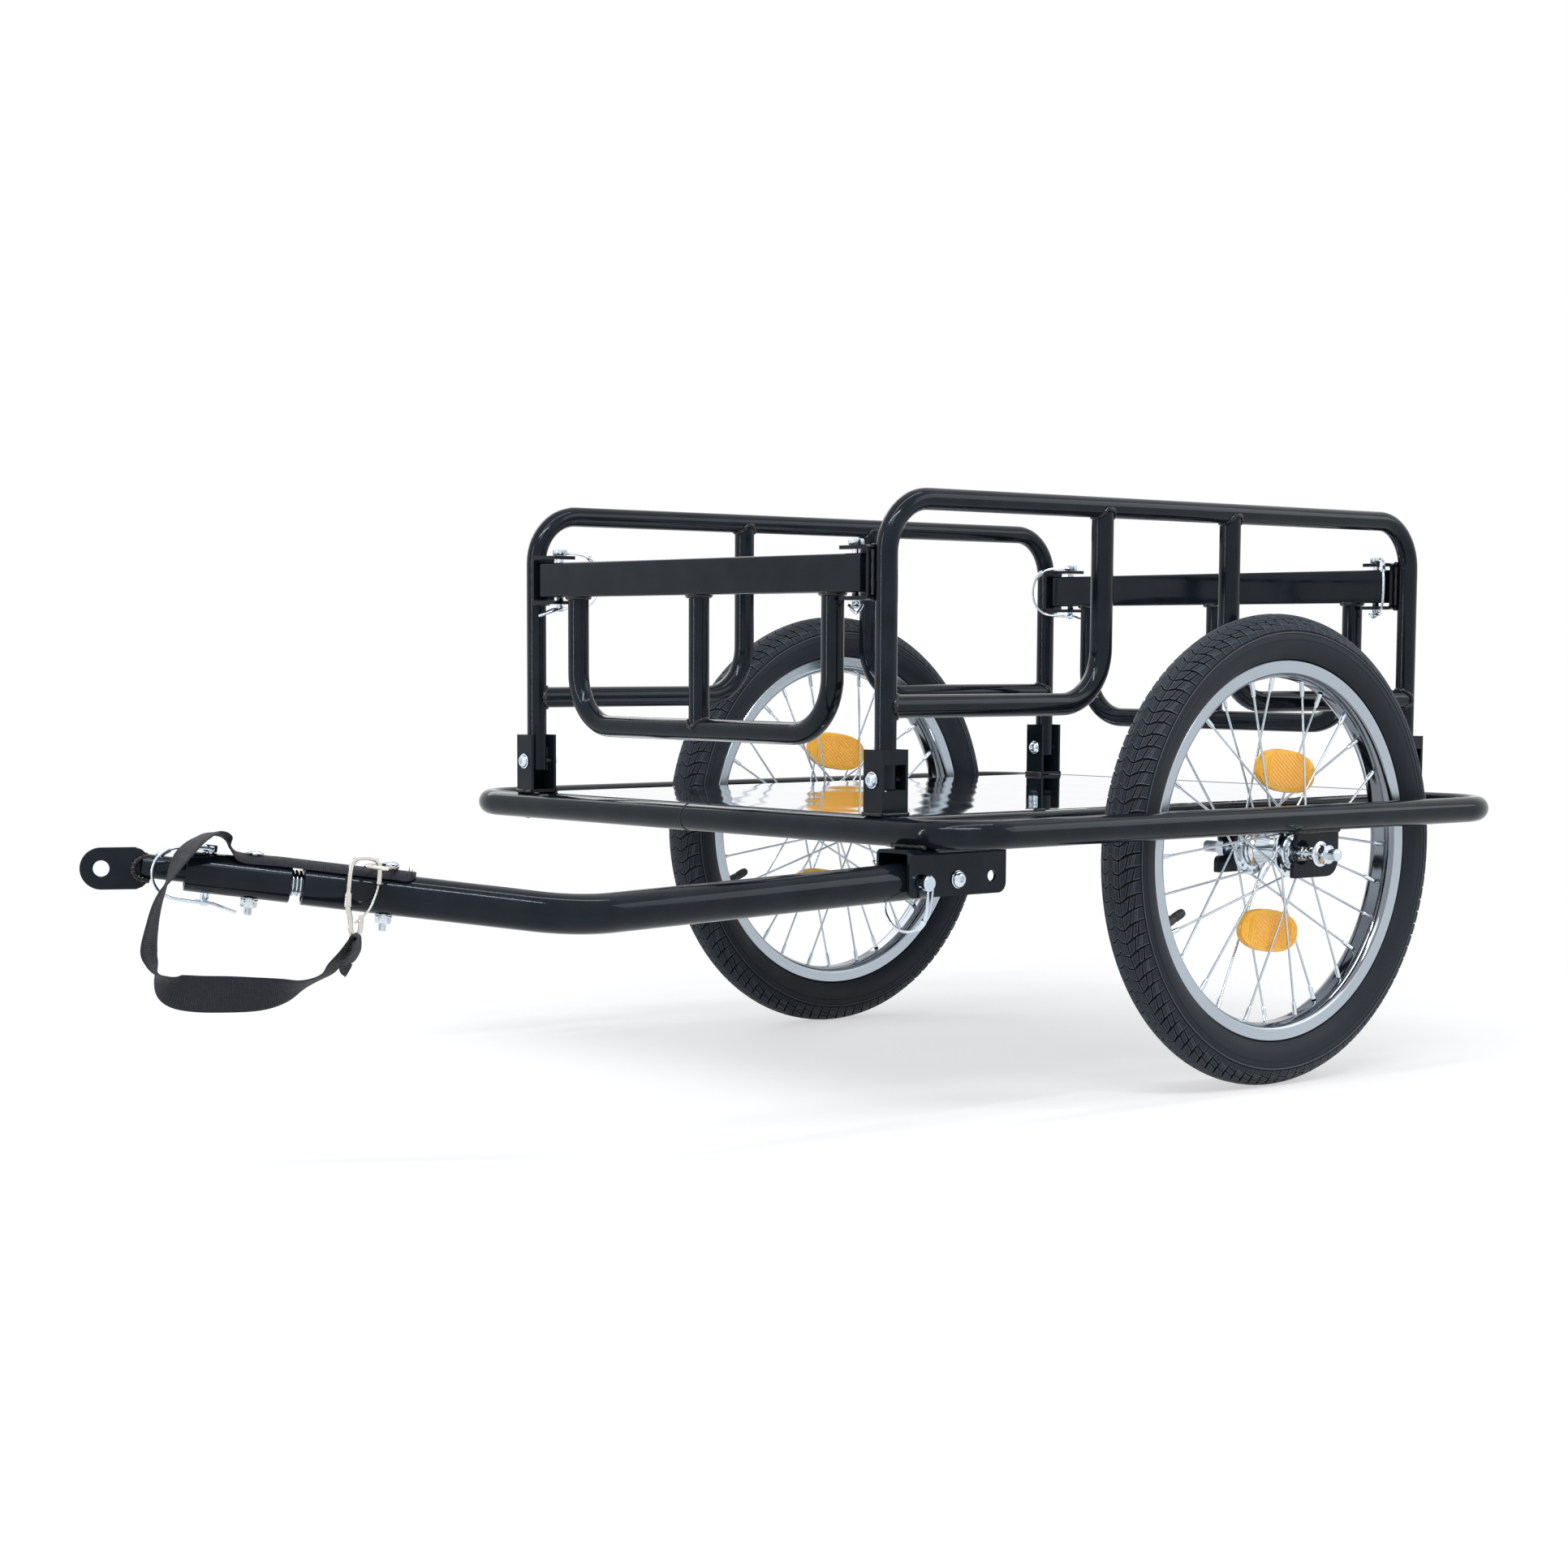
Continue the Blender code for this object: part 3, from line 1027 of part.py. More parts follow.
def safety_strap(pivot):
    route = strap_route()
    top = [on_arm(place[0], place[1], wrap + STRAP_THICKNESS / 2 if wrap else place[2]) for place, _, wrap in route]
    rings = []
    for i, (place, width, wrap) in enumerate(route):
        ahead = (top[min(i + 1, len(top) - 1)] - top[max(i - 1, 0)]).normalized()
        rings.append(strap_section(place, width, wrap, ahead))

    def build(body):
        loops = [[body.verts.new(p) for p in ring] for ring in rings]
        count = len(rings[0])
        for first, second in zip(loops, loops[1:]):
            for k in range(count):
                body.faces.new((first[k], first[(k + 1) % count], second[(k + 1) % count], second[k]))
        for loop in (loops[0], loops[-1]):
            for k in range(count // 2 - 1):
                body.faces.new((loop[k], loop[k + 1], loop[-k - 2], loop[-k - 1]))

    strap = add("safety_strap", mesh_of("safety_strap", build), pivot, WEBBING)
    for at in (ARM_BOLT_AT, COUPLER_BOLT_AT):
        cut(strap, rod("strap_hole", on_arm(at, 0, 0.0), on_arm(at, 0, 0.03), SMALL_BOLT_RADIUS + GAP, pivot))
    length = sum((b - a).length for a, b in zip(top, top[1:]))
    print("strap length, m:", round(length, 3))


def strap_ring(pivot):
    """A D of wire held under the strap bolt's head, lying level over the arm toward the hook."""
    height = ARM_TUBE_RADIUS + STRAP_THICKNESS + 3 * GAP + RING_WIRE
    turn = math.radians(RING_TURN)
    inner = SMALL_BOLT_RADIUS + RING_WIRE + 0.0008

    def placed(forward, sideways):
        u = ARM_BOLT_AT + forward * math.cos(turn) - sideways * math.sin(turn)
        w = forward * math.sin(turn) + sideways * math.cos(turn)
        return on_arm(u, w, height)

    path = [placed(inner * math.cos(math.radians(a)), inner * math.sin(math.radians(a)))
            for a in (100, 140, 180, 220, 260)]
    path += [placed(x, y) for x, y in ((0.021, -0.0075), (0.0245, -0.0070), (0.0260, -0.0045), (0.0260, 0.0045),
                                       (0.0245, 0.0070), (0.021, 0.0075))]
    tube("strap_ring", path, RING_WIRE, pivot, NICKEL, closed=True, resolution=1)


def snap_hook(pivot):
    """Long wire hook hung from the ring, with its eye through the strap's loop and a sprung gate wire."""
    w = HOOK_SIDE
    low_w = HOOK_SIDE + 0.0005
    at = ARM_BOLT_AT
    top = ARM_TUBE_RADIUS + STRAP_THICKNESS + 3 * GAP + RING_WIRE
    path = [(at + 0.0075, w, top - 0.0108), (at + 0.0080, w, top - 0.0028), (at + 0.0090, w, top + 0.0027),
            (at + 0.0120, w, top + 0.0054), (at + 0.0190, w, top + 0.0060), (at + 0.0245, w, top + 0.0042),
            (at + 0.0270, w, top - 0.0018), (at + 0.0270, w, 0.0030), (at + 0.0260, low_w, -0.0100),
            (at + 0.0235, low_w, -0.0180), (at + 0.0225, low_w + 0.0012, -0.0250),
            (at + 0.0205, low_w + 0.0010, -0.0290), (at + 0.0180, low_w, -0.0290), (at + 0.0162, low_w, -0.0250),
            (at + 0.0165, low_w, -0.0150)]
    tube("snap_hook", [on_arm(*p) for p in path], HOOK_WIRE, pivot, NICKEL, resolution=1)
    gate_path = [(at + 0.0200, low_w, -0.0165), (at + 0.0160, low_w, -0.0050), (at + 0.0115, w, 0.0030),
                 (at + 0.0075, w, 0.0042)]
    tube("hook_gate", [on_arm(*p) for p in gate_path], GATE_WIRE, pivot, NICKEL, resolution=1)


trailer = empty("trailer", (-MIDDLE_X, 0.0, 0.0))
base_frame(trailer)
for end, x in (("front", FRONT_LEG_X), ("rear", REAR_LEG_X)):
    for side_name, side in (("left", 1.0), ("right", -1.0)):
        leg_bracket(end + "_" + side_name + "_leg_bracket", x, side, trailer)
        leg_bolt(end + "_" + side_name + "_leg_bolt", x, side, trailer)
panels = {}
for side_name, side in (("left", 1.0), ("right", -1.0)):
    panel = side_panel(side_name + "_side_panel", side, trailer)
    panels[side_name] = panel.parent
gate("front_gate", FRONT_LEG_X, 1.0, trailer)
gate("rear_gate", REAR_LEG_X, -1.0, trailer)
gate_pins(panels)
for side_name, side in (("left", 1.0), ("right", -1.0)):
    wheel(side_name, side, trailer)
    axles(side_name, side, trailer)
    dropout(side_name + "_outer_dropout", side * RING_HALF_WIDTH, RING_Z, RING_TUBE_RADIUS, trailer)
    dropout(side_name + "_inner_dropout", side * INNER_RAIL_Y,
            DECK_TOP - DECK_THICKNESS - GAP - INNER_RAIL_RADIUS, INNER_RAIL_RADIUS, trailer)
arm_bracket(trailer)
arm_axis = tow_arm(trailer)
arm_fasteners(trailer, arm_axis)
coupler(arm_axis)
safety_strap(arm_axis)
strap_ring(arm_axis)
snap_hook(arm_axis)
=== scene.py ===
# Looks of the folding bicycle trailer, fitted over its solids.
# Metres, +X forward to the hitch, +Y left, +Z up, wheels on z = 0.
import json
import math

import bmesh
import bpy
import numpy as np
from mathutils import Matrix, Vector


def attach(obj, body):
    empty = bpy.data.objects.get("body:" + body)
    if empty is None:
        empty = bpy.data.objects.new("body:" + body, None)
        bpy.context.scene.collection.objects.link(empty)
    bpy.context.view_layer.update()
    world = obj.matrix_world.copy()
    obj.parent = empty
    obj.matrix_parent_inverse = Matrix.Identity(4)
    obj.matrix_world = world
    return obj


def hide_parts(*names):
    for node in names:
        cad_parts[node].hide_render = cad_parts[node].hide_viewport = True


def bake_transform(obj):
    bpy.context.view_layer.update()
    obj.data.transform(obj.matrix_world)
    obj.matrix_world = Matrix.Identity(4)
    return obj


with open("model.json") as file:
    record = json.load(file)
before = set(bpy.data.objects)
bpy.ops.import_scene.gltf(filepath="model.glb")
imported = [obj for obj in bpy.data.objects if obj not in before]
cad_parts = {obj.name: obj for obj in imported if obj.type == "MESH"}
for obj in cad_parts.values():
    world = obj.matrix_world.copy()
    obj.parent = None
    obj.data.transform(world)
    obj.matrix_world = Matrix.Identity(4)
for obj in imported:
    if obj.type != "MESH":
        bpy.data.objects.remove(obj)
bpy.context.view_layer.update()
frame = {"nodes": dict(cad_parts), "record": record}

# Sizes repeated from the solids
GAP = 0.0003
MIDDLE_X = 0.3693435
TYRE_RADIUS = 0.197
TYRE_HALF_WIDTH = 0.022
RIM_FLANGE_RADIUS = 0.159
RIM_HALF_WIDTH = 0.014
RIM_DEPTH = 0.0145
RIM_BED_RADIUS = RIM_FLANGE_RADIUS - RIM_DEPTH
WHEEL_Y = 0.277
HUB_FLANGE_RADIUS = 0.0215
HUB_FLANGE_SPACING = 0.046
HUB_BARREL_RADIUS = 0.0105
SPOKE_COUNT = 28
SPOKE_CROSS_ANGLE = 70.0
SPOKE_HOLE_INSET = 0.0035
AXLE_Z = TYRE_RADIUS
RING_TUBE_RADIUS = 0.011
RING_Z = 0.226
RING_FRONT_X = 0.4015
RING_REAR_X = -0.261
RING_HALF_WIDTH = 0.317
RING_CORNER_RADIUS = 0.05
RING_TOP = RING_Z + RING_TUBE_RADIUS
RAIL_RADIUS = 0.010
DECK_SHEET = 0.001
DECK_TOP = RING_TOP + GAP
INNER_RAIL_Y = 0.235
INNER_RAIL_Z = DECK_TOP - DECK_SHEET - GAP - RAIL_RADIUS
CROSS_MEMBERS = (("rear", -0.09), ("front", 0.23))
LEG_Y = 0.2253
FRONT_LEG_X = 0.3925
REAR_LEG_X = -0.243
LEGS = (("front", FRONT_LEG_X), ("rear", REAR_LEG_X))
LEG_BRACKET_HALF = 0.01325 + GAP
PANEL_TUBE_RADIUS = 0.0085
PANEL_TOP_Z = 0.478
PANEL_BEND = 0.042
FOLD_Z = 0.2645
INFILL_TUBE_RADIUS = 0.009
INFILL_RAIL_Z = 0.320
INFILL_BEND = 0.045
FRONT_INFILL_X = 0.1557
REAR_INFILL_X = -0.0005
GATE_BAR_Z = 0.4215
GATE_BAR_HEIGHT = 0.0295
GATE_BAR_HALF_DEPTH = 0.010
GATE_UPRIGHT_Y = 0.164
GATE_BOTTOM_Z = 0.297
GATE_TUBE_RADIUS = 0.009
GATE_BEND = 0.045
GATE_PIN_Y = 0.1905
GATE_SPAN = GATE_BAR_HEIGHT / 2 + 0.006
GATE_BRACKET_REACH = 0.0335
ARM_TUBE_RADIUS = 0.014
ARM_WALL = 0.002
ARM_Y = 0.268
ARM_PIVOT_X = 0.3738
ARM_PIVOT_Z = 0.1915
ARM_TAIL = 0.014
ARM_BEND = 0.12
ARM_HOLE_PITCH = 0.036
ARM_HOLE_RADIUS = 0.0043
ARM_BRACKET_HALF = 0.0184
ARM_BRACKET_SHEET = 0.0025
ARM_BRACKET_HEIGHT = 0.0355
ARM_BRACKET_FRONT = 0.0497
ARM_BRACKET_REAR = 0.0513
OUTER_NUT_STANDOFF = 0.009
ARM_CORNER_X = 0.716
ARM_CORNER_Z = 0.1815
ARM_TURN = math.radians(-27.0)
ARM_RISE = math.radians(7.64)
ARM_END = 0.187
SLEEVE_START = 0.195
SLEEVE_END = 0.264
SLEEVE_RADIUS = 0.0136
SLEEVE_WALL = 0.002
SPRING_TURNS = 6
SPRING_PITCH = 0.0027
SPRING_WIRE = 0.00105
SPRING_RADIUS = 0.009
ARM_BOLT_AT = 0.131
COUPLER_BOLT_AT = 0.2205
HITCH_PIN_AT = 0.2495
PLATE_START = 0.286
PLATE_LENGTH = 0.046
PLATE_HEIGHT = 0.0277
PLATE_THICKNESS = 0.005
BAIL_WIRE = 0.0011
RING_WIRE = 0.0014
STRAP_WIDTH = 0.025
STRAP_THICKNESS = 0.002
SIDES = (("left", 1.0), ("right", -1.0))


def row(x, y, z):
    """A place on the trailer, measured from the axle and the ground, in the shared frame."""
    return Vector((x - MIDDLE_X, y, z))


ARM_ALONG = Vector((math.cos(ARM_RISE) * math.cos(ARM_TURN), math.cos(ARM_RISE) * math.sin(ARM_TURN),
                    math.sin(ARM_RISE)))
ARM_LEFT = Vector((-math.sin(ARM_TURN), math.cos(ARM_TURN), 0.0))
ARM_UP = ARM_ALONG.cross(ARM_LEFT)
ARM_CORNER = row(ARM_CORNER_X, ARM_Y, ARM_CORNER_Z)


def on_arm(u, w=0.0, v=0.0):
    """A place along, left of and above the arm's front run, measured from its corner."""
    return ARM_CORNER + ARM_ALONG * u + ARM_LEFT * w + ARM_UP * v


def wheel_centre(side):
    return row(0.0, side * WHEEL_Y, AXLE_Z)


def placed(name, data):
    """A new object in the scene."""
    made = bpy.data.objects.new(name, data)
    bpy.context.scene.collection.objects.link(made)
    return made


# Camera
camera_data = bpy.data.cameras.new("camera")
camera = placed("camera", camera_data)
camera_data.sensor_width = 36.0
camera_data.lens = 66.999
camera_data.shift_x = 0.00515
camera_data.shift_y = 0.0890
camera_data.clip_start = 0.05
camera_data.clip_end = 60.0
CAMERA_PLACE = row(1.90101, 1.85917, 0.36433)
RIGHT = Vector((-0.75971585, 0.6502414, 0.00423784))
DOWN = Vector((0.05800598, 0.07426018, -0.99555047))
FORWARD = Vector((-0.64766283, -0.75608964, -0.09413453))
camera_turn = Matrix((RIGHT, -DOWN, -FORWARD)).transposed().to_4x4()
camera.matrix_world = Matrix.Translation(CAMERA_PLACE) @ camera_turn
bpy.context.scene.camera = camera


# Shader helpers
class Shader:
    """A material with its Principled shader and short ways to add nodes."""

    def __init__(self, name, colour, roughness, metallic=0.0):
        self.material = bpy.data.materials.new(name)
        self.material.use_nodes = True
        self.tree = self.material.node_tree
        self.shader = self.tree.nodes["Principled BSDF"]
        self.set("Base Color", (*colour, 1.0))
        self.set("Roughness", roughness)
        self.set("Metallic", metallic)
        self.place = self.node("ShaderNodeTexCoord").outputs["Object"]

    def node(self, kind, values=None, **settings):
        made = self.tree.nodes.new(kind)
        for key, value in settings.items():
            setattr(made, key, value)
        for key, value in (values or {}).items():
            made.inputs[key].default_value = value
        return made

    def link(self, source, target):
        self.tree.links.new(source, target)

    def set(self, name, value):
        self.shader.inputs[name].default_value = value

    def noise(self, scale, detail=3.0, place=None):
        made = self.node("ShaderNodeTexNoise", {"Scale": scale, "Detail": detail, "Roughness": 0.5})
        self.link(place or self.place, made.inputs["Vector"])
        return made.outputs["Fac"]

    def cells(self, scale):
        made = self.node("ShaderNodeTexVoronoi", {"Scale": scale})
        self.link(self.place, made.inputs["Vector"])
        return made.outputs

    def wave(self, place, scale, direction, profile="SIN"):
        made = self.node("ShaderNodeTexWave", {"Scale": scale}, wave_type="BANDS", bands_direction=direction,
                         wave_profile=profile)
        self.link(place, made.inputs["Vector"])
        return made.outputs["Fac"]

    def mapped(self, place, key, value):
        made = self.node("ShaderNodeMapping", {key: value})
        self.link(place, made.inputs["Vector"])
        return made.outputs["Vector"]

    def maths(self, operation, *terms):
        """A Math node whose terms are numbers or sockets."""
        made = self.node("ShaderNodeMath", operation=operation)
        for socket, term in zip(made.inputs, terms):
            if isinstance(term, float):
                socket.default_value = term
            else:
                self.link(term, socket)
        return made.outputs[0]

    def ramp(self, source, stops):
        made = self.node("ShaderNodeValToRGB")
        elements = made.color_ramp.elements
        while len(elements) < len(stops):
            elements.new(0.5)
        for element, (at, colour) in zip(elements, stops):
            element.position = at
            element.color = (*colour, 1.0)
        self.link(source, made.inputs["Fac"])
        return made.outputs["Color"]

    def span(self, source, low, high):
        made = self.node("ShaderNodeMapRange", {"From Min": 0.3, "From Max": 0.7, "To Min": low,
                                                "To Max": high})
        self.link(source, made.inputs["Value"])
        return made.outputs["Result"]

    def bump(self, height, strength, distance, before=None):
        made = self.node("ShaderNodeBump", {"Strength": strength, "Distance": distance})
        self.link(height, made.inputs["Height"])
        if before is not None:
            self.link(before, made.inputs["Normal"])
        self.link(made.outputs["Normal"], self.shader.inputs["Normal"])
        return made.outputs["Normal"]

    def colour(self, source, stops=None):
        self.link(self.ramp(source, stops) if stops else source, self.shader.inputs["Base Color"])

    def roughness(self, source, low, high):
        self.link(self.span(source, low, high), self.shader.inputs["Roughness"])


def powder_coat():
    """Gloss black powder coat: faint orange peel, small dust and a few rubbed patches."""
    made = Shader("black_powder_coat_look", (0.007, 0.008, 0.011), 0.15)
    dust = made.noise(38.0, 5.0)
    made.colour(dust, [(0.35, (0.004, 0.006, 0.009)), (0.72, (0.008, 0.011, 0.016))])
    made.roughness(dust, 0.06, 0.14)
    made.set("Specular IOR Level", 0.20)
    made.set("Specular Tint", (0.80, 0.91, 1.0, 1.0))
    peel = made.bump(made.noise(420.0, 2.0), 0.05, 0.0004)
    made.bump(made.noise(1500.0, 1.0), 0.03, 0.0001, peel)
    return made.material


def weld_bead_look():
    """Lumpy seam under the same black coat."""
    made = Shader("painted_weld_look", (0.007, 0.008, 0.011), 0.12)
    made.bump(made.noise(420.0, 3.0), 0.35, 0.0008)
    made.roughness(made.noise(90.0), 0.06, 0.16)
    made.set("Specular IOR Level", 0.35)
    return made.material


def galvanised_sheet():
    """Bright galvanised sheet: soft spangle, tiny dark pits and a slow wave in the shine."""
    made = Shader("galvanised_sheet_look", (0.80, 0.84, 0.88), 0.14, 1.0)
    tone = made.ramp(made.cells(160.0)["Color"], [(0.0, (0.72, 0.77, 0.82)), (1.0, (0.86, 0.89, 0.92))])
    dots = made.ramp(made.cells(95.0)["Distance"], [(0.045, (0.34, 0.36, 0.39)), (0.07, (1.0, 1.0, 1.0))])
    mix = made.node("ShaderNodeMix", {"Factor": 0.8}, data_type="RGBA", blend_type="MULTIPLY")
    made.link(tone, mix.inputs[6])
    made.link(dots, mix.inputs[7])
    made.colour(mix.outputs[2])
    made.roughness(made.noise(14.0, 4.0), 0.02, 0.07)
    slow = made.bump(made.noise(9.0, 2.0), 0.06, 0.004)
    made.bump(made.noise(700.0, 2.0), 0.10, 0.0001, slow)
    return made.material


def metal(name, colour, rough, tones, shine, grain):
    """Metal whose tone, roughness and grain follow noises, each given as scale, detail and its values."""
    made = Shader(name, colour, rough, 1.0)
    made.colour(made.noise(*tones[:2]), tones[2])
    made.roughness(made.noise(*shine[:2]), *shine[2:])
    made.bump(made.noise(*grain[:2]), *grain[2:])
    return made.material


def rim_metal(name, low, high, smooth, rough):
    """Plated rim with fine rolling lines that run round it."""
    made = Shader(name, low, rough, 1.0)
    made.colour(made.noise(5.0, 2.0), [(0.3, low), (0.7, high)])
    lines = made.noise(60.0, 2.0, made.mapped(made.place, "Scale", (0.02, 60.0, 0.02)))
    made.roughness(lines, smooth, rough)
    made.bump(lines, 0.03, 0.0001)
    return made.material


def tread_rubber():
    """Tread: painted shade in the grooves, painted highlights on the block edges and fine slanted hatching
    that is also painted a little darker in its cuts, in the tyre's unrolled measure.
    """
    made = Shader("tread_rubber_look", (0.018, 0.022, 0.029), 0.6)
    made.set("Specular IOR Level", 0.2)
    uv = made.node("ShaderNodeUVMap", uv_map="around").outputs["UV"]
    hatch = made.wave(made.mapped(uv, "Rotation", (0.0, 0.0, math.radians(38.0))), 250.0, "X")
    dust = made.noise(60.0, 5.0)
    # The tone attribute is painted light: 0 paints shade on the groove floors, 1 paints highlights on the
    # block edges.
    tone = made.node("ShaderNodeAttribute", attribute_name="tone").outputs["Fac"]
    # The hatch adds a little painted shade in its cuts and a little painted highlight on its raised lines;
    # the dust cloud is real.
    lines = made.maths("MULTIPLY_ADD", hatch, 0.16, tone)
    dust_and_painted_light = made.maths("MULTIPLY_ADD", dust, 0.2, lines)
    # The darkest stops paint the shade in the grooves, the brightest stop paints the highlights on the block
    # edges.
    made.colour(dust_and_painted_light, [(0.10, (0.003, 0.004, 0.006)), (0.56, (0.010, 0.013, 0.018)),
                        (0.80, (0.020, 0.026, 0.036)), (1.0, (0.075, 0.090, 0.11))])
    made.roughness(dust, 0.45, 0.68)
    cut = made.bump(hatch, 0.5, 0.0003)
    made.bump(made.noise(1200.0, 3.0), 0.2, 0.0002, cut)
    return made.material


def side_rubber():
    """Sidewall: smooth matt rubber with faint cloudy dust."""
    made = Shader("side_rubber_look", (0.018, 0.022, 0.029), 0.5)
    made.set("Specular IOR Level", 0.2)
    dust = made.noise(30.0, 5.0)
    made.colour(dust, [(0.3, (0.009, 0.012, 0.018)), (0.75, (0.015, 0.020, 0.028))])
    made.roughness(dust, 0.42, 0.62)
    made.bump(made.noise(900.0, 3.0), 0.15, 0.0002)
    return made.material


def cap_rubber():
    """Black rubber of the valve and its cap."""
    made = Shader("cap_rubber_look", (0.016, 0.017, 0.019), 0.4)
    made.roughness(made.noise(200.0), 0.32, 0.5)
    made.bump(made.noise(900.0), 0.15, 0.0001)
    return made.material


def amber_plastic():
    """Clear amber moulding."""
    made = Shader("amber_plastic_look", (0.98, 0.40, 0.015), 0.12)
    for key, value in (("Transmission Weight", 0.12), ("IOR", 1.49), ("Coat Weight", 0.25),
                       ("Coat Roughness", 0.04),
                       ("Subsurface Weight", 0.12), ("Subsurface Scale", 0.004)):
        made.set(key, value)
    made.colour(made.noise(60.0), [(0.3, (0.98, 0.44, 0.020)), (0.7, (1.0, 0.54, 0.045))])
    made.bump(made.noise(500.0), 0.04, 0.0002)
    return made.material


def amber_prisms():
    """The reflecting middle: rows of small cube corners behind the clear face, with painted glints: pale
    yellow at the middle of each facet and deeper amber at its edges.
    """
    made = Shader("amber_prism_look", (0.98, 0.42, 0.02), 0.16)
    slant = made.mapped(made.place, "Rotation", (0.0, math.radians(38.0), 0.0))
    facet_grid_and_glints = made.maths("MULTIPLY", made.wave(slant, 200.0, "X", "TRI"), made.wave(slant, 110.0, "Z", "TRI"))
    # Painted light: where the grid peaks the colour is a pale yellow glint, in its valleys a darker amber
    # shade.
    made.colour(facet_grid_and_glints, [(0.0, (0.88, 0.30, 0.006)), (0.40, (1.0, 0.50, 0.030)), (1.0, (1.0, 0.80, 0.30))])
    made.bump(facet_grid_and_glints, 0.7, 0.0008)
    made.set("Coat Weight", 0.3)
    made.set("Coat Roughness", 0.04)
    return made.material


def webbing():
    """Woven strap: ribs across and along it, in its own flat measure; its colour paints shade between the
    ribs and lighter rib tops.
    """
    made = Shader("black_webbing_look", (0.010, 0.011, 0.015), 0.72)
    made.set("Specular IOR Level", 0.25)
    uv = made.node("ShaderNodeUVMap", uv_map="flat").outputs["UV"]
    along = made.maths("MULTIPLY", made.wave(uv, 260.0, "Y"), 0.45)
    ribs_and_rib_shade = made.maths("MULTIPLY_ADD", made.wave(uv, 230.0, "X"), 0.7, along)
    # Painted shade: the colour follows the ribs' height, darker in the valleys between them and lighter on
    # their tops.
    made.colour(ribs_and_rib_shade, [(0.1, (0.004, 0.004, 0.007)), (0.9, (0.020, 0.023, 0.031))])
    made.roughness(made.noise(300.0), 0.6, 0.8)
    made.bump(ribs_and_rib_shade, 0.8, 0.0005)
    made.set("Sheen Weight", 0.08)
    made.set("Sheen Roughness", 0.4)
    return made.material


POWDER = powder_coat()
WELD = weld_bead_look()
SHEET = galvanised_sheet()
# Bright zinc: blue-white with faint gold and violet patches
ZINC = metal("zinc_plate_look", (0.66, 0.70, 0.74), 0.2,
             (40.0, 2.0, [(0.30, (0.58, 0.68, 0.78)), (0.50, (0.68, 0.76, 0.84)), (0.68, (0.72, 0.76, 0.78)),
                          (0.80, (0.64, 0.68, 0.78))]),
             (260.0, 3.0, 0.12, 0.22), (1400.0, 2.0, 0.04, 0.00008))
SPOKE = metal("spoke_steel_look", (0.62, 0.67, 0.71), 0.22,
              (45.0, 3.0, [(0.3, (0.50, 0.57, 0.63)), (0.7, (0.64, 0.69, 0.74))]),
              (220.0, 3.0, 0.16, 0.24), (1600.0, 3.0, 0.03, 0.00008))
RIM = rim_metal("rim_metal_look", (0.42, 0.48, 0.54), (0.46, 0.52, 0.58), 0.20, 0.30)
RIM_BED = rim_metal("rim_bed_look", (0.20, 0.22, 0.25), (0.24, 0.26, 0.29), 0.06, 0.12)
TREAD = tread_rubber()
SIDEWALL = side_rubber()
CAP = cap_rubber()
AMBER = amber_plastic()
PRISM = amber_prisms()
WEBBING = webbing()
NICKEL = metal("nickel_plate_look", (0.72, 0.69, 0.64), 0.17,
               (90.0, 2.0, [(0.3, (0.64, 0.62, 0.58)), (0.7, (0.80, 0.77, 0.71))]),
               (300.0, 3.0, 0.10, 0.26), (1300.0, 3.0, 0.1, 0.0001))
# Oiled dark steel of the bearing cups, also used as painted shade for the hub's spoke holes
DARK = metal("dark_steel_look", (0.13, 0.12, 0.11), 0.3,
             (120.0, 3.0, [(0.3, (0.08, 0.08, 0.08)), (0.7, (0.22, 0.19, 0.16))]),
             (300.0, 3.0, 0.2, 0.42), (1200.0, 3.0, 0.1, 0.0001))
LOOKS_OF = {
    "black_powder_coat": (POWDER, WELD), "galvanised_sheet": (SHEET,), "zinc_plate": (ZINC, SPOKE, DARK),
    "rim_steel": (RIM, RIM_BED), "tyre_rubber": (SIDEWALL, TREAD), "tube_rubber": (CAP,),
    "amber_plastic": (AMBER, PRISM), "black_webbing": (WEBBING,), "nickel_plate": (NICKEL,),
}
for part in frame["record"]["subparts"]:
    node = frame["nodes"][part["node"]]
    node.data.materials.clear()
    node.data.materials.append(LOOKS_OF[part["material_slot"]][0])


# Mesh helpers: every shape is gathered in a bmesh and becomes one named piece
def mesh_of(name, build):
    """A mesh of what build draws, with its faces turned outward."""
    shape = bmesh.new()
    build(shape)
    bmesh.ops.recalc_face_normals(shape, faces=shape.faces)
    mesh = bpy.data.meshes.new(name)
    shape.to_mesh(mesh)
    shape.free()
    return mesh


def turned_outward(mesh):
    shape = bmesh.new()
    shape.from_mesh(mesh)
    bmesh.ops.recalc_face_normals(shape, faces=shape.faces)
    shape.to_mesh(mesh)
    shape.free()


def smoothed(mesh, angle):
    mesh.shade_smooth()
    mesh.set_sharp_from_angle(angle=math.radians(angle))


def piece(name, body, material, build, replaces=(), smooth=40.0, extra=()):
    """One piece riding on a body; extra holds further materials for faces with a material index."""
    mesh = mesh_of(name, build)
    for look in (material, *extra):
        mesh.materials.append(look)
    smoothed(mesh, smooth)
    made = placed(name, mesh)
    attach(made, body)
    if replaces:
        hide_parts(*replaces)
    return made


def axes_of(axis):
    """The axis at unit length, with two directions across it."""
    axis = Vector(axis).normalized()
    pick = Vector((0, 0, 1)) if abs(axis.z) < 0.9 else Vector((1, 0, 0))
    across = (pick - axis * pick.dot(axis)).normalized()
    return axis, across, axis.cross(across)


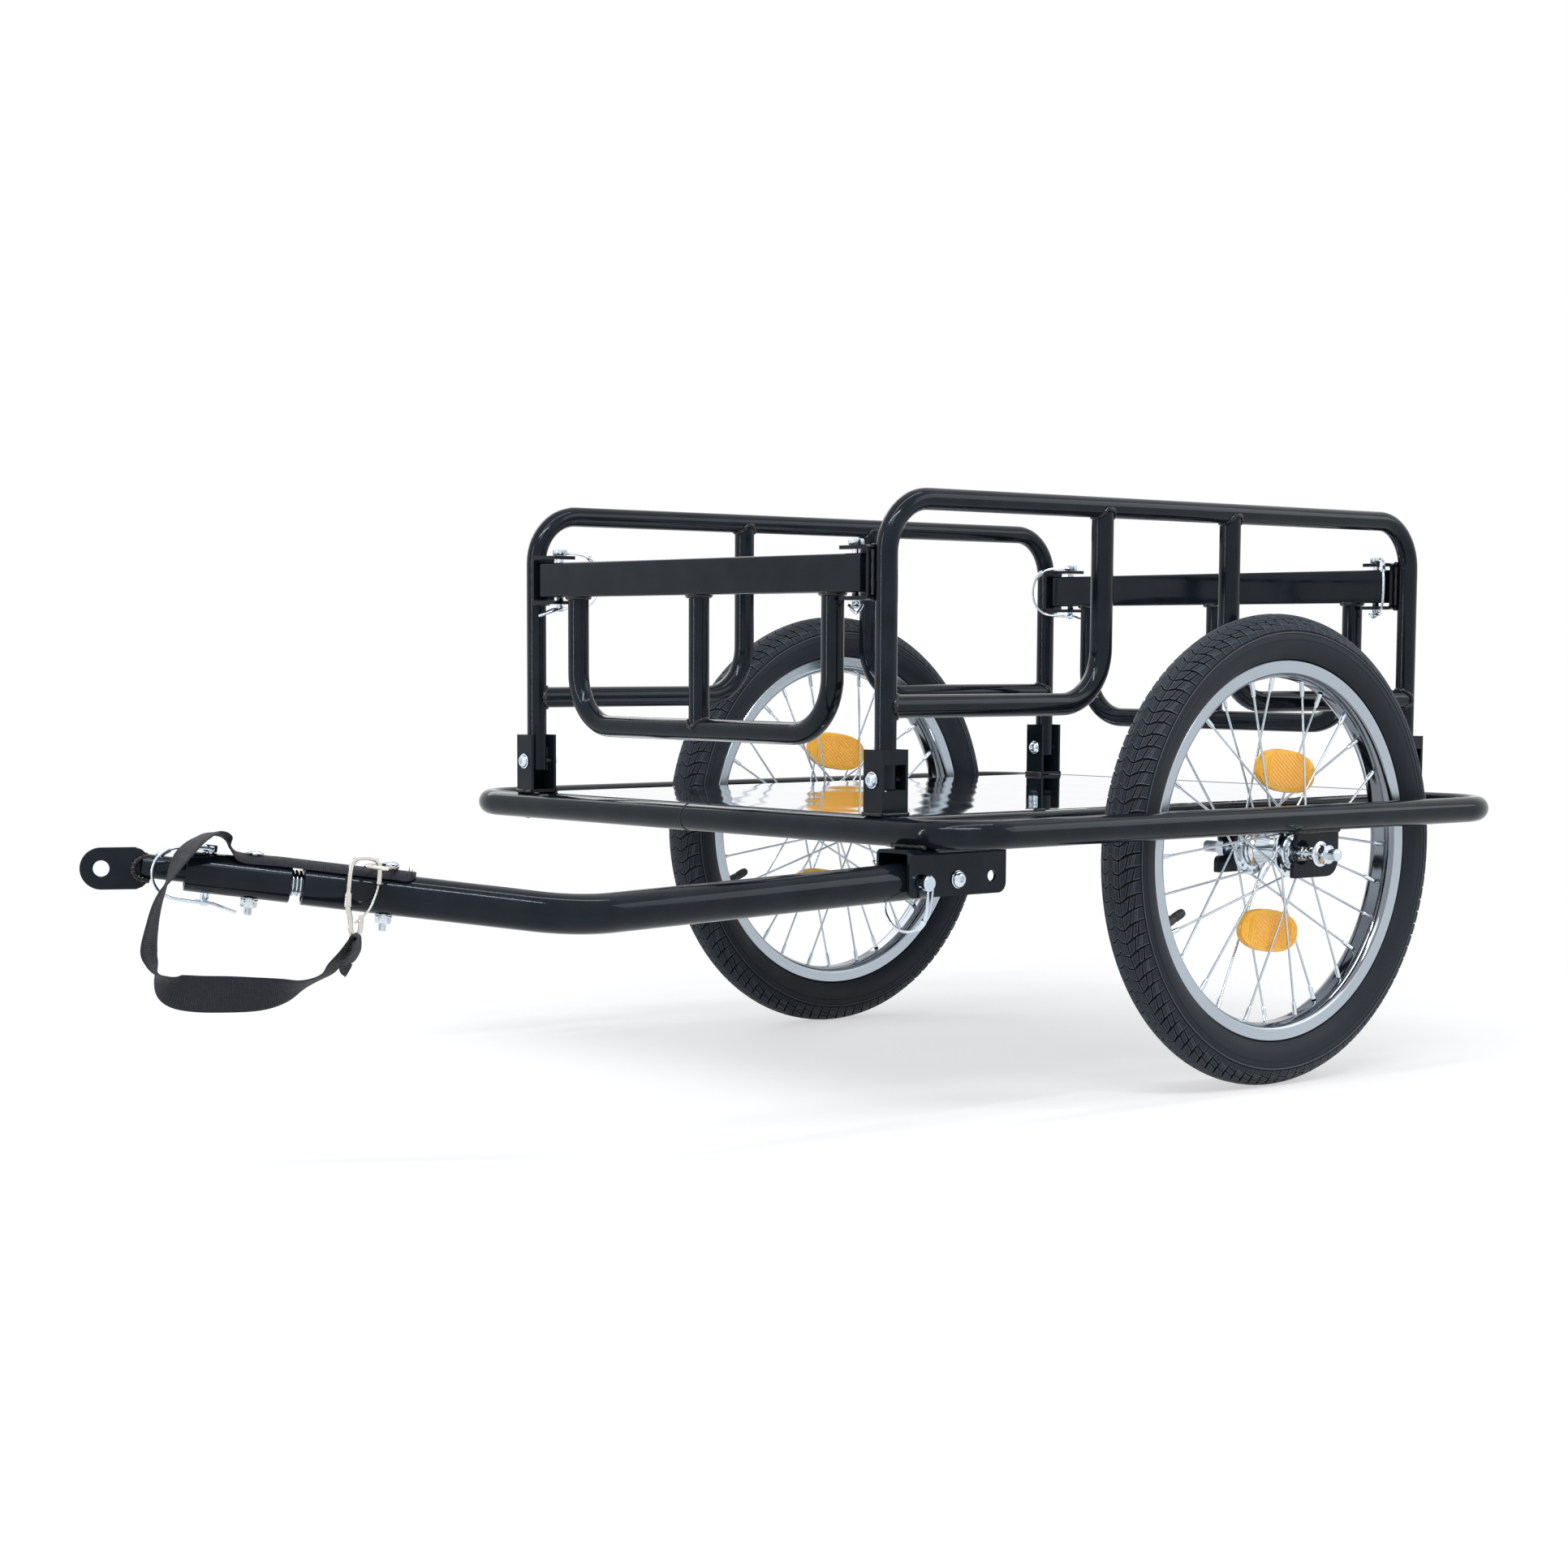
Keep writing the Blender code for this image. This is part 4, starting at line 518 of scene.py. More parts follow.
def arc(middle, radius, start, end, steps):
    """Points of a flat arc from start to end, in degrees."""
    angles = [math.radians(start + (end - start) * k / steps) for k in range(steps + 1)]
    return [(middle[0] + radius * math.cos(a), middle[1] + radius * math.sin(a)) for a in angles]


def straight(start, end, steps):
    """Evenly spaced points from start to end."""
    return [start.lerp(end, k / steps) for k in range(steps + 1)]


def raised(profile, height):
    """A profile of (radius, height) moved up by height."""
    return [(radius, height + rise) for radius, rise in profile]


def fillet(corners, radius, steps=14, closed=False):
    """A path through corners, each corner rounded by an arc of the given radius."""
    corners = [Vector(c) for c in corners]
    count = len(corners)
    path = []
    for i, corner in enumerate(corners):
        if not closed and i in (0, count - 1):
            path.append(corner)
            continue
        back = (corners[i - 1] - corner).normalized()
        ahead = (corners[(i + 1) % count] - corner).normalized()
        half = back.angle(ahead) / 2
        reach = radius / math.tan(half)
        centre = corner + (back + ahead).normalized() * (radius / math.sin(half))
        start = corner + back * reach - centre
        end = corner + ahead * reach - centre
        bend = start.angle(end)
        axis = start.cross(end).normalized()
        for k in range(steps + 1):
            path.append(centre + Matrix.Rotation(bend * k / steps, 3, axis) @ start)
    return path


def curve_through(points, steps=6, closed=False):
    """A smooth path through the points."""
    points = [Vector(p) for p in points]
    count = len(points)
    path = []
    last = count if closed else count - 1
    for i in range(last):
        p1, p2 = points[i], points[(i + 1) % count]
        p0 = points[i - 1] if closed or i > 0 else p1 * 2 - p2
        p3 = points[(i + 2) % count] if closed or i + 2 < count else p2 * 2 - p1
        for k in range(steps):
            t = k / steps
            path.append(0.5 * ((2 * p1) + (p2 - p0) * t + (2 * p0 - 5 * p1 + 4 * p2 - p3) * t * t
                               + (3 * p1 - p0 - 3 * p2 + p3) * t * t * t))
    if not closed:
        path.append(points[-1])
    return path


def bridge(shape, first, second):
    """Faces between two closed rows of points."""
    count = len(first)
    for k in range(count):
        n = (k + 1) % count
        shape.faces.new((first[k], first[n], second[n], second[k]))


def skin(shape, loops):
    """Faces along a row of loops, with flat ends."""
    for first, second in zip(loops, loops[1:]):
        bridge(shape, first, second)
    shape.faces.new(loops[0])
    shape.faces.new(loops[-1])


def cap_strip(shape, loop):
    """Closes a loop whose second half runs back beside its first half."""
    count = len(loop)
    for k in range(count // 2 - 1):
        shape.faces.new((loop[k], loop[k + 1], loop[count - 2 - k], loop[count - 1 - k]))


def sweep(shape, path, radius, sides=24, closed=False, squeeze=None):
    """A round bar along a path; squeeze(i) gives the radius at point i. Ends are slightly rounded."""
    count = len(path)
    frames = []
    normal = None
    for i in range(count):
        if closed:
            ahead = (path[(i + 1) % count] - path[i - 1]).normalized()
        else:
            ahead = (path[min(i + 1, count - 1)] - path[max(i - 1, 0)]).normalized()
        if normal is None:
            normal = axes_of(ahead)[1]
        else:
            normal = (normal - ahead * normal.dot(ahead)).normalized()
        frames.append((path[i], ahead, normal, ahead.cross(normal)))

    def loop(place, across, up, size):
        return [shape.verts.new(place + across * (size * math.cos(2 * math.pi * k / sides))
                                + up * (size * math.sin(2 * math.pi * k / sides))) for k in range(sides)]

    sizes = [squeeze(i) if squeeze else radius for i in range(count)]
    loops = []
    if not closed:
        # The first and last loops are a little smaller, and their neighbours lie just inside the ends
        place, ahead, across, up = frames[0]
        loops.append(loop(place, across, up, sizes[0] * 0.9))
        frames[0] = (place + ahead * radius * 0.1, ahead, across, up)
        last = frames[-1]
        frames[-1] = (last[0] - last[1] * radius * 0.1, last[1], last[2], last[3])
    for size, (place, ahead, across, up) in zip(sizes, frames):
        loops.append(loop(place, across, up, size))
    if not closed:
        loops.append(loop(last[0], last[2], last[3], sizes[-1] * 0.9))
        skin(shape, loops)
        return
    for first, second in zip(loops, loops[1:]):
        bridge(shape, first, second)
    # The last loop is turned so that it meets the first at its nearest point
    best = min(range(sides), key=lambda k: (loops[-1][k].co - loops[0][0].co).length)
    bridge(shape, loops[-1][best:] + loops[-1][:best], loops[0])


def lathe(shape, profile, centre, axis, sides=48, closed=False):
    """A profile of (radius, height) turned about an axis through centre; radius 0 closes the end."""
    axis, across, up = axes_of(axis)
    centre = Vector(centre)
    rings = []
    for radius, height in profile:
        if radius < 1e-7:
            rings.append([shape.verts.new(centre + axis * height)])
            continue
        rings.append([shape.verts.new(centre + axis * height
                                      + across * (radius * math.cos(2 * math.pi * k / sides))
                                      + up * (radius * math.sin(2 * math.pi * k / sides)))
                      for k in range(sides)])
    pairs = list(zip(rings, rings[1:]))
    if closed:
        pairs.append((rings[-1], rings[0]))
    for a, b in pairs:
        if len(a) == sides and len(b) == sides:
            bridge(shape, a, b)
            continue
        for k in range(sides):
            n = (k + 1) % sides
            if len(a) == 1 and len(b) == sides:
                shape.faces.new((a[0], b[n], b[k]))
            elif len(b) == 1 and len(a) == sides:
                shape.faces.new((a[k], a[n], b[0]))
    if not closed:
        for ring in (rings[0], rings[-1]):
            if len(ring) > 1:
                shape.faces.new(ring)


def disc(shape, centre, axis, radius, low, high, sides=32, edge=0.0003):
    """A short round block with softened rims."""
    lathe(shape, [(0.0, high), (radius - edge, high), (radius, high - edge), (radius, low + edge),
                  (radius - edge, low), (0.0, low)], centre, axis, sides)


def hexagon(shape, centre, axis, radius, low, high, chamfer=0.0008):
    """A hexagonal nut or head whose corners are cut by a shallow cone."""
    axis, across, up = axes_of(axis)
    sides = 48
    flat = radius * math.cos(math.pi / 6)
    rings = []
    for height, cut in ((low, True), (low + chamfer * 0.4, False), (high - chamfer, False), (high, True)):
        ring = []
        for k in range(sides):
            angle = 2 * math.pi * k / sides
            local = (angle + math.pi / 6) % (math.pi / 3) - math.pi / 6
            size = flat / math.cos(local)
            if cut:
                size = min(size, flat * 1.01)
            ring.append(shape.verts.new(Vector(centre) + axis * height + across * (size * math.cos(angle))
                                        + up * (size * math.sin(angle))))
        rings.append(ring)
    skin(shape, rings)


def thread(shape, centre, axis, radius, low, high, pitch=0.001):
    """A threaded shank drawn as fine rings, with a chamfered tip at its low end."""
    profile = [(0.0, low), (radius * 0.72, low), (radius * 0.94, low + pitch * 0.8)]
    at = low + pitch
    while at < high - pitch:
        profile += [(radius, at), (radius, at + pitch * 0.2), (radius * 0.9, at + pitch * 0.55)]
        at += pitch
    profile += [(radius, high), (0.0, high)]
    lathe(shape, profile, centre, axis, 24)


def bead(shape, path, size, closed=False):
    """A weld: a rounded seam with the small scallops of its passes."""
    lengths = [0.0]
    for a, b in zip(path, path[1:]):
        lengths.append(lengths[-1] + (b - a).length)

    def lumpy(i):
        return size * (1.0 + 0.14 * math.sin(lengths[i] * 2400.0) + 0.08 * math.sin(lengths[i] * 1900.0))

    sweep(shape, path, size, sides=10, closed=closed, squeeze=lumpy)


def ring_path(centre, axis, radius, steps):
    """Points once round an axis."""
    across, up = axes_of(axis)[1:]
    return [Vector(centre) + across * (radius * math.cos(2 * math.pi * k / steps))
            + up * (radius * math.sin(2 * math.pi * k / steps)) for k in range(steps)]


def seam_bead(shape, at, along, tube_radius, host_radius, host_axis, size):
    """The weld where a tube meets a round host tube: it dips along the host's curve."""
    along = Vector(along).normalized()
    host_axis = Vector(host_axis).normalized()
    sideways = along.cross(host_axis).normalized()
    path = []
    for a, b in arc((0.0, 0.0), tube_radius, 0.0, 360.0, 32)[:-1]:
        dip = math.sqrt(max(host_radius ** 2 - min(abs(b), host_radius * 0.98) ** 2, 0.0))
        path.append(Vector(at) + host_axis * a + sideways * b - along * dip)
    bead(shape, path, size, True)


def bevelled(name, width):
    """Softens the sharp folds of a solid that stays in view."""
    step = frame["nodes"][name].modifiers.new("soft_edges", "BEVEL")
    step.width = width
    step.segments = 2
    step.limit_method = "ANGLE"
    step.angle_limit = math.radians(50.0)


# Base ring, rails, cross members and deck
def base():
    corners = [row(x, y, RING_Z) for x, y in ((RING_FRONT_X, RING_HALF_WIDTH), (RING_REAR_X, RING_HALF_WIDTH),
                                              (RING_REAR_X, -RING_HALF_WIDTH),
                                              (RING_FRONT_X, -RING_HALF_WIDTH))]
    path = fillet(corners, RING_CORNER_RADIUS, closed=True)
    piece("ring_tube", "frame", POWDER, lambda s: sweep(s, path, RING_TUBE_RADIUS, 36, closed=True),
          ["base_ring"])
    front = RING_FRONT_X - RING_TUBE_RADIUS - GAP
    rear = RING_REAR_X + RING_TUBE_RADIUS + GAP
    for side_name, side in SIDES:
        y = side * INNER_RAIL_Y
        piece("rail_tube_" + side_name, "frame", POWDER,
              lambda s: sweep(s, [row(rear, y, INNER_RAIL_Z), row(front, y, INNER_RAIL_Z)], RAIL_RADIUS, 32),
              ["inner_rail_" + side_name])
    reach = INNER_RAIL_Y - RAIL_RADIUS - GAP
    for label, x in CROSS_MEMBERS:
        piece("cross_tube_" + label, "frame", POWDER,
              lambda s: sweep(s, [row(x, -reach, INNER_RAIL_Z), row(x, reach, INNER_RAIL_Z)], RAIL_RADIUS,
                              28),
              ["cross_member_" + label])

    def welds(s):
        for side_name, side in SIDES:
            y = side * INNER_RAIL_Y
            for x, way in ((RING_FRONT_X, 1), (RING_REAR_X, -1)):
                seam_bead(s, row(x, y, RING_Z), (way, 0, 0), RAIL_RADIUS, RING_TUBE_RADIUS, (0, 1, 0), 0.0022)
            for label, x in CROSS_MEMBERS:
                seam_bead(s, row(x, y, INNER_RAIL_Z), (0, side, 0), RAIL_RADIUS, RAIL_RADIUS, (1, 0, 0),
                          0.0018)

    piece("base_welds", "frame", WELD, welds)
    piece("ring_seam", "frame", WELD,
          lambda s: bead(s, ring_path(row(RING_FRONT_X, 0.0, RING_Z), (0, 1, 0), RING_TUBE_RADIUS, 40),
                         0.0006, True))

    def deck(s):
        """Thin sheet with its edges turned down a little and a faint unevenness."""
        start = row(rear + 0.001, 0, 0).x
        end = row(front - 0.001, 0, 0).x
        nx, ny = 60, 44
        top, bottom = {}, {}
        for i in range(nx + 1):
            for j in range(ny + 1):
                x = start + (end - start) * i / nx
                y = -INNER_RAIL_Y + 2 * INNER_RAIL_Y * j / ny
                edge = min(i, nx - i, j, ny - j)
                wave = 0.00018 * math.sin(x * 21.0 + 0.7) * math.cos(y * 17.0 - 0.3)
                wave += 0.0001 * math.sin(x * 47.0 + y * 31.0)
                z = DECK_TOP - 0.0002 + wave * min(edge / 3.0, 1.0) - (0.0002 if edge == 0 else 0.0)
                top[i, j] = s.verts.new((x, y, z))
                bottom[i, j] = s.verts.new((x, y, DECK_TOP - DECK_SHEET))
        for i in range(nx):
            for j in range(ny):
                s.faces.new((top[i, j], top[i + 1, j], top[i + 1, j + 1], top[i, j + 1]))
                s.faces.new((bottom[i, j], bottom[i, j + 1], bottom[i + 1, j + 1], bottom[i + 1, j]))
        border = [(i, 0) for i in range(nx)] + [(nx, j) for j in range(ny)]
        border += [(i, ny) for i in range(nx, 0, -1)] + [(0, j) for j in range(ny, 0, -1)]
        bridge(s, [top[at] for at in border], [bottom[at] for at in border])

    piece("deck_plate", "frame", SHEET, deck, ["deck_sheet"])


# Leg brackets keep their solid shape; bolts and welds are finer pieces
def leg_fittings():
    for end, x in LEGS:
        for side_name, side in SIDES:
            name = end + "_" + side_name
            bevelled(name + "_leg_bracket", 0.0007)
            centre = row(x, side * LEG_Y, FOLD_Z)
            half = LEG_BRACKET_HALF
            axis = (1, 0, 0)

            def bolt(s):
                disc(s, centre, axis, 0.0065, half, half + 0.0011)
                lathe(s, raised([(0.0, 0.0010), (0.0054, 0.0010), (0.0055, 0.0016), (0.0047, 0.0030),
                                 (0.0030, 0.0038),
                                 (0.0021, 0.0039), (0.0019, 0.0022), (0.0, 0.0022)], half), centre, axis, 32)
                lathe(s, [(0.003, half), (0.003, -half)], centre, axis, 20)
                disc(s, centre, axis, 0.0062, -half - 0.001, -half)
                hexagon(s, centre, axis, 0.0056, -half - 0.0042, -half - 0.0009)
                thread(s, centre, axis, 0.003, -half - 0.0072, -half - 0.0035)

            piece(name + "_leg_screw", "frame", ZINC, bolt, [name + "_leg_bolt"])
            outer = LEG_Y + PANEL_TUBE_RADIUS + GAP + 0.0025

            def foot(s):
                z = DECK_TOP + 0.0012
                y0, y1 = side * (outer + 0.0002), side * (outer - 0.0215)
                for dx in (-0.0136, 0.0136):
                    bead(s, straight(row(x + dx, y0, z), row(x + dx, y1, z), 14), 0.0016)
                bead(s, straight(row(x - 0.013, y0, z), row(x + 0.013, y0, z), 16), 0.0015)

            piece(name + "_foot_weld", "frame", WELD, foot)


# Side panels
def folded_bracket(s, x, side):
    """C of 3 mm sheet with rounded bends, opening inboard, that takes a gate bar."""
    thick = 0.003
    bend = 0.0045
    half = 0.011
    low = GATE_BAR_Z - GATE_SPAN
    high = GATE_BAR_Z + GATE_SPAN
    tip = PANEL_TUBE_RADIUS + GATE_BRACKET_REACH
    fold = PANEL_TUBE_RADIUS + bend
    outer, inner = [arc((fold, high - bend), radius, 90.0, 180.0, 6)
                    + arc((fold, low + bend), radius, 180.0, 270.0, 6) for radius in (bend, bend - thick)]
    outline = [(tip, high)] + outer + [(tip, low), (tip, low + thick)]
    outline += list(reversed(inner)) + [(tip, high - thick)]
    loops = [[s.verts.new(row(x + dx, side * LEG_Y - side * a, z)) for a, z in outline]
             for dx in (-half, -half + GAP, half - GAP, half)]
    for a, b in zip(loops, loops[1:]):
        bridge(s, a, b)
    for loop in (loops[0], loops[-1]):
        cap_strip(s, loop)


def panels():
    for side_name, side in SIDES:
        y = side * LEG_Y
        body = side_name + "_panel"
        foot = FOLD_Z - 0.0081
        outline = fillet([row(FRONT_LEG_X, y, foot), row(FRONT_LEG_X, y, PANEL_TOP_Z),
                          row(REAR_LEG_X, y, PANEL_TOP_Z),
                          row(REAR_LEG_X, y, foot)], PANEL_BEND)
        infills = [fillet([row(leg - way * 0.003, y, INFILL_RAIL_Z), row(upright, y, INFILL_RAIL_Z),
                           row(upright, y, PANEL_TOP_Z - 0.003)], INFILL_BEND)
                   for leg, upright, way in ((FRONT_LEG_X, FRONT_INFILL_X, 1.0),
                                             (REAR_LEG_X, REAR_INFILL_X, -1.0))]

        def tubes(s):
            sweep(s, outline, PANEL_TUBE_RADIUS, 32)
            for path in infills:
                sweep(s, path, INFILL_TUBE_RADIUS, 32)

        piece(side_name + "_panel_tubes", body, POWDER, tubes, [side_name + "_side_panel"])

        def brackets(s):
            for x in (FRONT_LEG_X, REAR_LEG_X):
                folded_bracket(s, x, side)

        piece(side_name + "_gate_brackets", body, POWDER, brackets)

        def welds(s):
            tube = INFILL_TUBE_RADIUS + 0.0002
            for x in (FRONT_INFILL_X, REAR_INFILL_X):
                seam_bead(s, row(x, y, PANEL_TOP_Z), (0, 0, 1), tube, PANEL_TUBE_RADIUS, (1, 0, 0), 0.0019)
            for x, way in ((FRONT_LEG_X, 1.0), (REAR_LEG_X, -1.0)):
                seam_bead(s, row(x, y, INFILL_RAIL_Z), (way, 0, 0), tube, PANEL_TUBE_RADIUS, (0, 0, 1),
                          0.0019)
                inner = y - side * (PANEL_TUBE_RADIUS - 0.0006)
                for sense in (-1.0, 1.0):
                    z = GATE_BAR_Z + sense * (GATE_SPAN - 0.0008)
                    bead(s, straight(row(x - 0.008, inner, z), row(x + 0.008, inner, z), 10), 0.0018)
                inner = y - side * (PANEL_TUBE_RADIUS - 0.0022)
                for dx in (-0.0085, 0.0085):
                    bead(s, straight(row(x + dx, inner, GATE_BAR_Z - 0.017),
                                     row(x + dx, inner, GATE_BAR_Z + 0.017), 16),
                         0.0015)

        piece(side_name + "_panel_welds", body, WELD, welds)


# Gates
def gates():
    low = GATE_BAR_Z - GATE_BAR_HEIGHT / 2
    high = GATE_BAR_Z + GATE_BAR_HEIGHT / 2
    reach = LEG_Y - PANEL_TUBE_RADIUS - 0.003 - 0.0075
    depth = GATE_BAR_HALF_DEPTH
    round_by = 0.0022
    outline = []
    for sense_x, cz, start in ((1.0, high - round_by, 0.0), (-1.0, high - round_by, 90.0),
                               (-1.0, low + round_by, 180.0), (1.0, low + round_by, 270.0)):
        outline += arc((sense_x * (depth - round_by), cz), round_by, start, start + 90.0, 4)
    stations = [(-reach, 0.94), (-reach + 0.0004, 1.0)]
    stations += [(-reach + 2 * reach * k / 12, 1.0) for k in range(1, 12)]
    stations += [(reach - 0.0004, 1.0), (reach, 0.94)]
    for end, x in LEGS:
        body = end + "_gate_body"

        def bar(s):
            """Square bar with rounded edges, the hanging U tube and its middle upright."""
            skin(s, [[s.verts.new(row(x + dx * size, y, GATE_BAR_Z + (z - GATE_BAR_Z) * size)) for dx,
                      z in outline]
                     for y, size in stations])
            top = low + 0.003
            hanger = fillet([row(x, -GATE_UPRIGHT_Y, top), row(x, -GATE_UPRIGHT_Y, GATE_BOTTOM_Z),
                             row(x, GATE_UPRIGHT_Y, GATE_BOTTOM_Z), row(x, GATE_UPRIGHT_Y, top)], GATE_BEND)
            sweep(s, hanger, GATE_TUBE_RADIUS, 32)
            sweep(s, [row(x, 0, top), row(x, 0, GATE_BOTTOM_Z)], 0.0085, 28)

        piece(end + "_gate_bar", body, POWDER, bar, [end + "_gate"])

        def welds(s):
            for y in (-GATE_UPRIGHT_Y, 0.0, GATE_UPRIGHT_Y):
                bead(s, ring_path(row(x, y, low - GAP), (0, 0, 1), 0.0092, 32), 0.0020, True)
            seam_bead(s, row(x, 0, GATE_BOTTOM_Z), (0, 0, -1), 0.0088, GATE_TUBE_RADIUS, (0, 1, 0), 0.0019)

        piece(end + "_gate_welds", body, WELD, welds)


# Wire lock pins
def lock_pin(name, body, node, centre, along, out, sizes, bail):
    """Grooved pin with a drilled head; its wire leaves the head, is crimped, and snaps over the tail.
    Sizes: radius, head radius, low end and head's seat. Bail: reach, and its tail's reach and rise."""
    radius, head_radius, low, high = sizes
    reach, tail_reach, tail_rise = bail
    along = Vector(along).normalized()
    out = Vector(out).normalized()
    across = along.cross(out)
    head = 0.005

    def shank(s):
        groove = radius * 0.86
        lathe(s, raised([(0.0, 0.0), (radius * 0.72, 0.0), (radius, 0.0008), (radius, 0.0022),
                         (groove, 0.0027),
                         (groove, 0.0040), (radius, 0.0045)], low) + [(radius, high)], centre, along, 28)
        lathe(s, raised([(0.0, head), (head_radius - 0.0008, head), (head_radius, head - 0.0007),
                         (head_radius, 0.0008),
                         (head_radius - 0.0004, 0.0002), (radius, 0.0)], high), centre, along, 32)

    piece(name + "_shank", body, ZINC, shank, [node])
    bail_low = low + BAIL_WIRE + 0.0012
    bail_high = high + head / 2
    middle = (bail_high + bail_low) / 2
    half = (bail_high - bail_low) / 2
    strand = 0.0048
    angles = [math.radians(162.0) * k / 9 for k in range(10)]
    points = [(reach * math.sin(angle) ** 0.5, middle + half * math.cos(angle), 0.0) for angle in angles]
    slack = (-tail_reach * 0.55, bail_low - tail_rise * 0.45)
    points += [(0.004, bail_low, strand), (-0.003, bail_low, strand), (*slack, strand * 0.7),
               (-tail_reach, bail_low - tail_rise, 0.0), (*slack, -strand * 0.7), (-0.003, bail_low, -strand),
               (0.004, bail_low, -strand)]
    path = curve_through([centre + out * a + along * b + across * c for a, b, c in points])

    def wire(s):
        sweep(s, path, BAIL_WIRE, 10)
        # Crimped tube near the head, and the second strand that returns through the head's hole
        crimp = 11
        sweep(s, path[crimp:crimp + 9], 0.0023, 14)
        second = [p + across * (0.0050 - 0.0038 * k / crimp) for k, p in enumerate(path[1:crimp + 2])]
        sweep(s, [centre + along * bail_high + across * 0.0045] + second, BAIL_WIRE * 0.9, 8)

    piece(name + "_wire", body, ZINC, wire)


def gate_pins():
    # Each bail's direction, with its reach and its tail's reach and rise
    bails = {
        ("front", "right"): ((-1.0, 0.0, 0.0), (0.042, 0.022, 0.006)),
        ("front", "left"): ((-0.65, -0.76, 0.0), (0.025, 0.018, 0.006)),
        ("rear", "right"): ((0.7, -0.7, 0.0), (0.038, 0.014, 0.003)),
        ("rear", "left"): ((0.65, 0.76, 0.0), (0.032, 0.014, 0.003)),
    }
    span = GATE_SPAN + GAP
    for (end, side_name), (out, bail) in bails.items():
        place = row(dict(LEGS)[end], dict(SIDES)[side_name] * GATE_PIN_Y, GATE_BAR_Z)
        name = end + "_" + side_name + "_gate_pin"
        lock_pin(name, side_name + "_panel", name, place, (0, 0, 1), out,
                 (0.003, 0.0062, -span - 0.006, span), bail)


# Wheels
def tread_columns():
    """The tread's half section in columns: angle from the middle, height share, painted light (shade on the
    groove floors, highlight on the ridges), groove shift, lean and kind of block."""
    deep, top, ridge = 0.0, 1.0, 1.12
    # Tones of painted light: the dark value paints shade on the groove floors, the light value paints
    # highlights on the ridges at the block edges.
    painted_shade, plain, painted_highlight = 0.0, 0.5, 1.0
    return [
        (0.0, top, plain, 0.42, 0.0, "a"), (4.0, top, plain, 0.30, 0.0, "a"),
        (7.0, top, plain, 0.20, 0.0, "a"),
        (8.1, ridge, painted_highlight, 0.16, 0.0, "a"), (8.6, deep, painted_shade, 0.14, 0.0, "-"),
        (9.9, deep, painted_shade, 0.11, 0.0, "-"),
        (10.4, ridge, painted_highlight, 0.10, 0.0, "b"), (11.8, top, plain, 0.08, 0.0, "b"),
        (15.0, top, plain, 0.05, 0.0, "b"),
        (18.2, top, plain, 0.02, 0.0, "b"), (19.5, ridge, painted_highlight, 0.0, 0.0, "b"),
        (20.1, deep, painted_shade, 0.0, 0.0, "-"),
        (22.0, deep, painted_shade, 0.02, 0.0, "-"), (22.6, ridge, painted_highlight, 0.04, 0.1, "c"),
        (24.2, top, plain, 0.09, 0.3, "c"),
        (29.0, top, plain, 0.22, 0.7, "c"), (34.4, top, plain, 0.35, 1.0, "c"),
        (36.0, ridge, painted_highlight, 0.38, 1.0, "c"),
        (36.8, deep, painted_shade, 0.40, 1.0, "-"), (39.0, deep, painted_shade, 0.43, 1.0, "-"),
        (39.8, ridge, painted_highlight, 0.44, 1.0, "d"),
        (41.4, top, plain, 0.46, 1.0, "d"), (45.0, top, plain, 0.52, 1.0, "d"),
        (48.0, top, plain, 0.55, 1.0, "d"),
        (49.4, ridge, painted_highlight, 0.57, 1.0, "d"), (50.1, deep, painted_shade, 0.58, 1.0, "e"),
        (52.2, deep, painted_shade, 0.59, 0.9, "e"),
        (52.9, ridge, painted_highlight, 0.59, 0.85, "d"), (54.4, top, plain, 0.60, 0.8, "d"),
        (60.0, top, plain, 0.63, 0.4, "d"),
        (66.6, top, plain, 0.65, 0.1, "d"), (68.0, 0.5, painted_shade, 0.65, 0.0, "-"),
        (69.6, 0.5, painted_shade, 0.65, 0.0, "-"),
        (70.6, 0.85, painted_highlight, 0.65, 0.0, "-"), (72.0, 0.85, painted_highlight, 0.65, 0.0, "-"),
        (73.2, 0.2, plain, 0.65, 0.0, "-"),
    ]


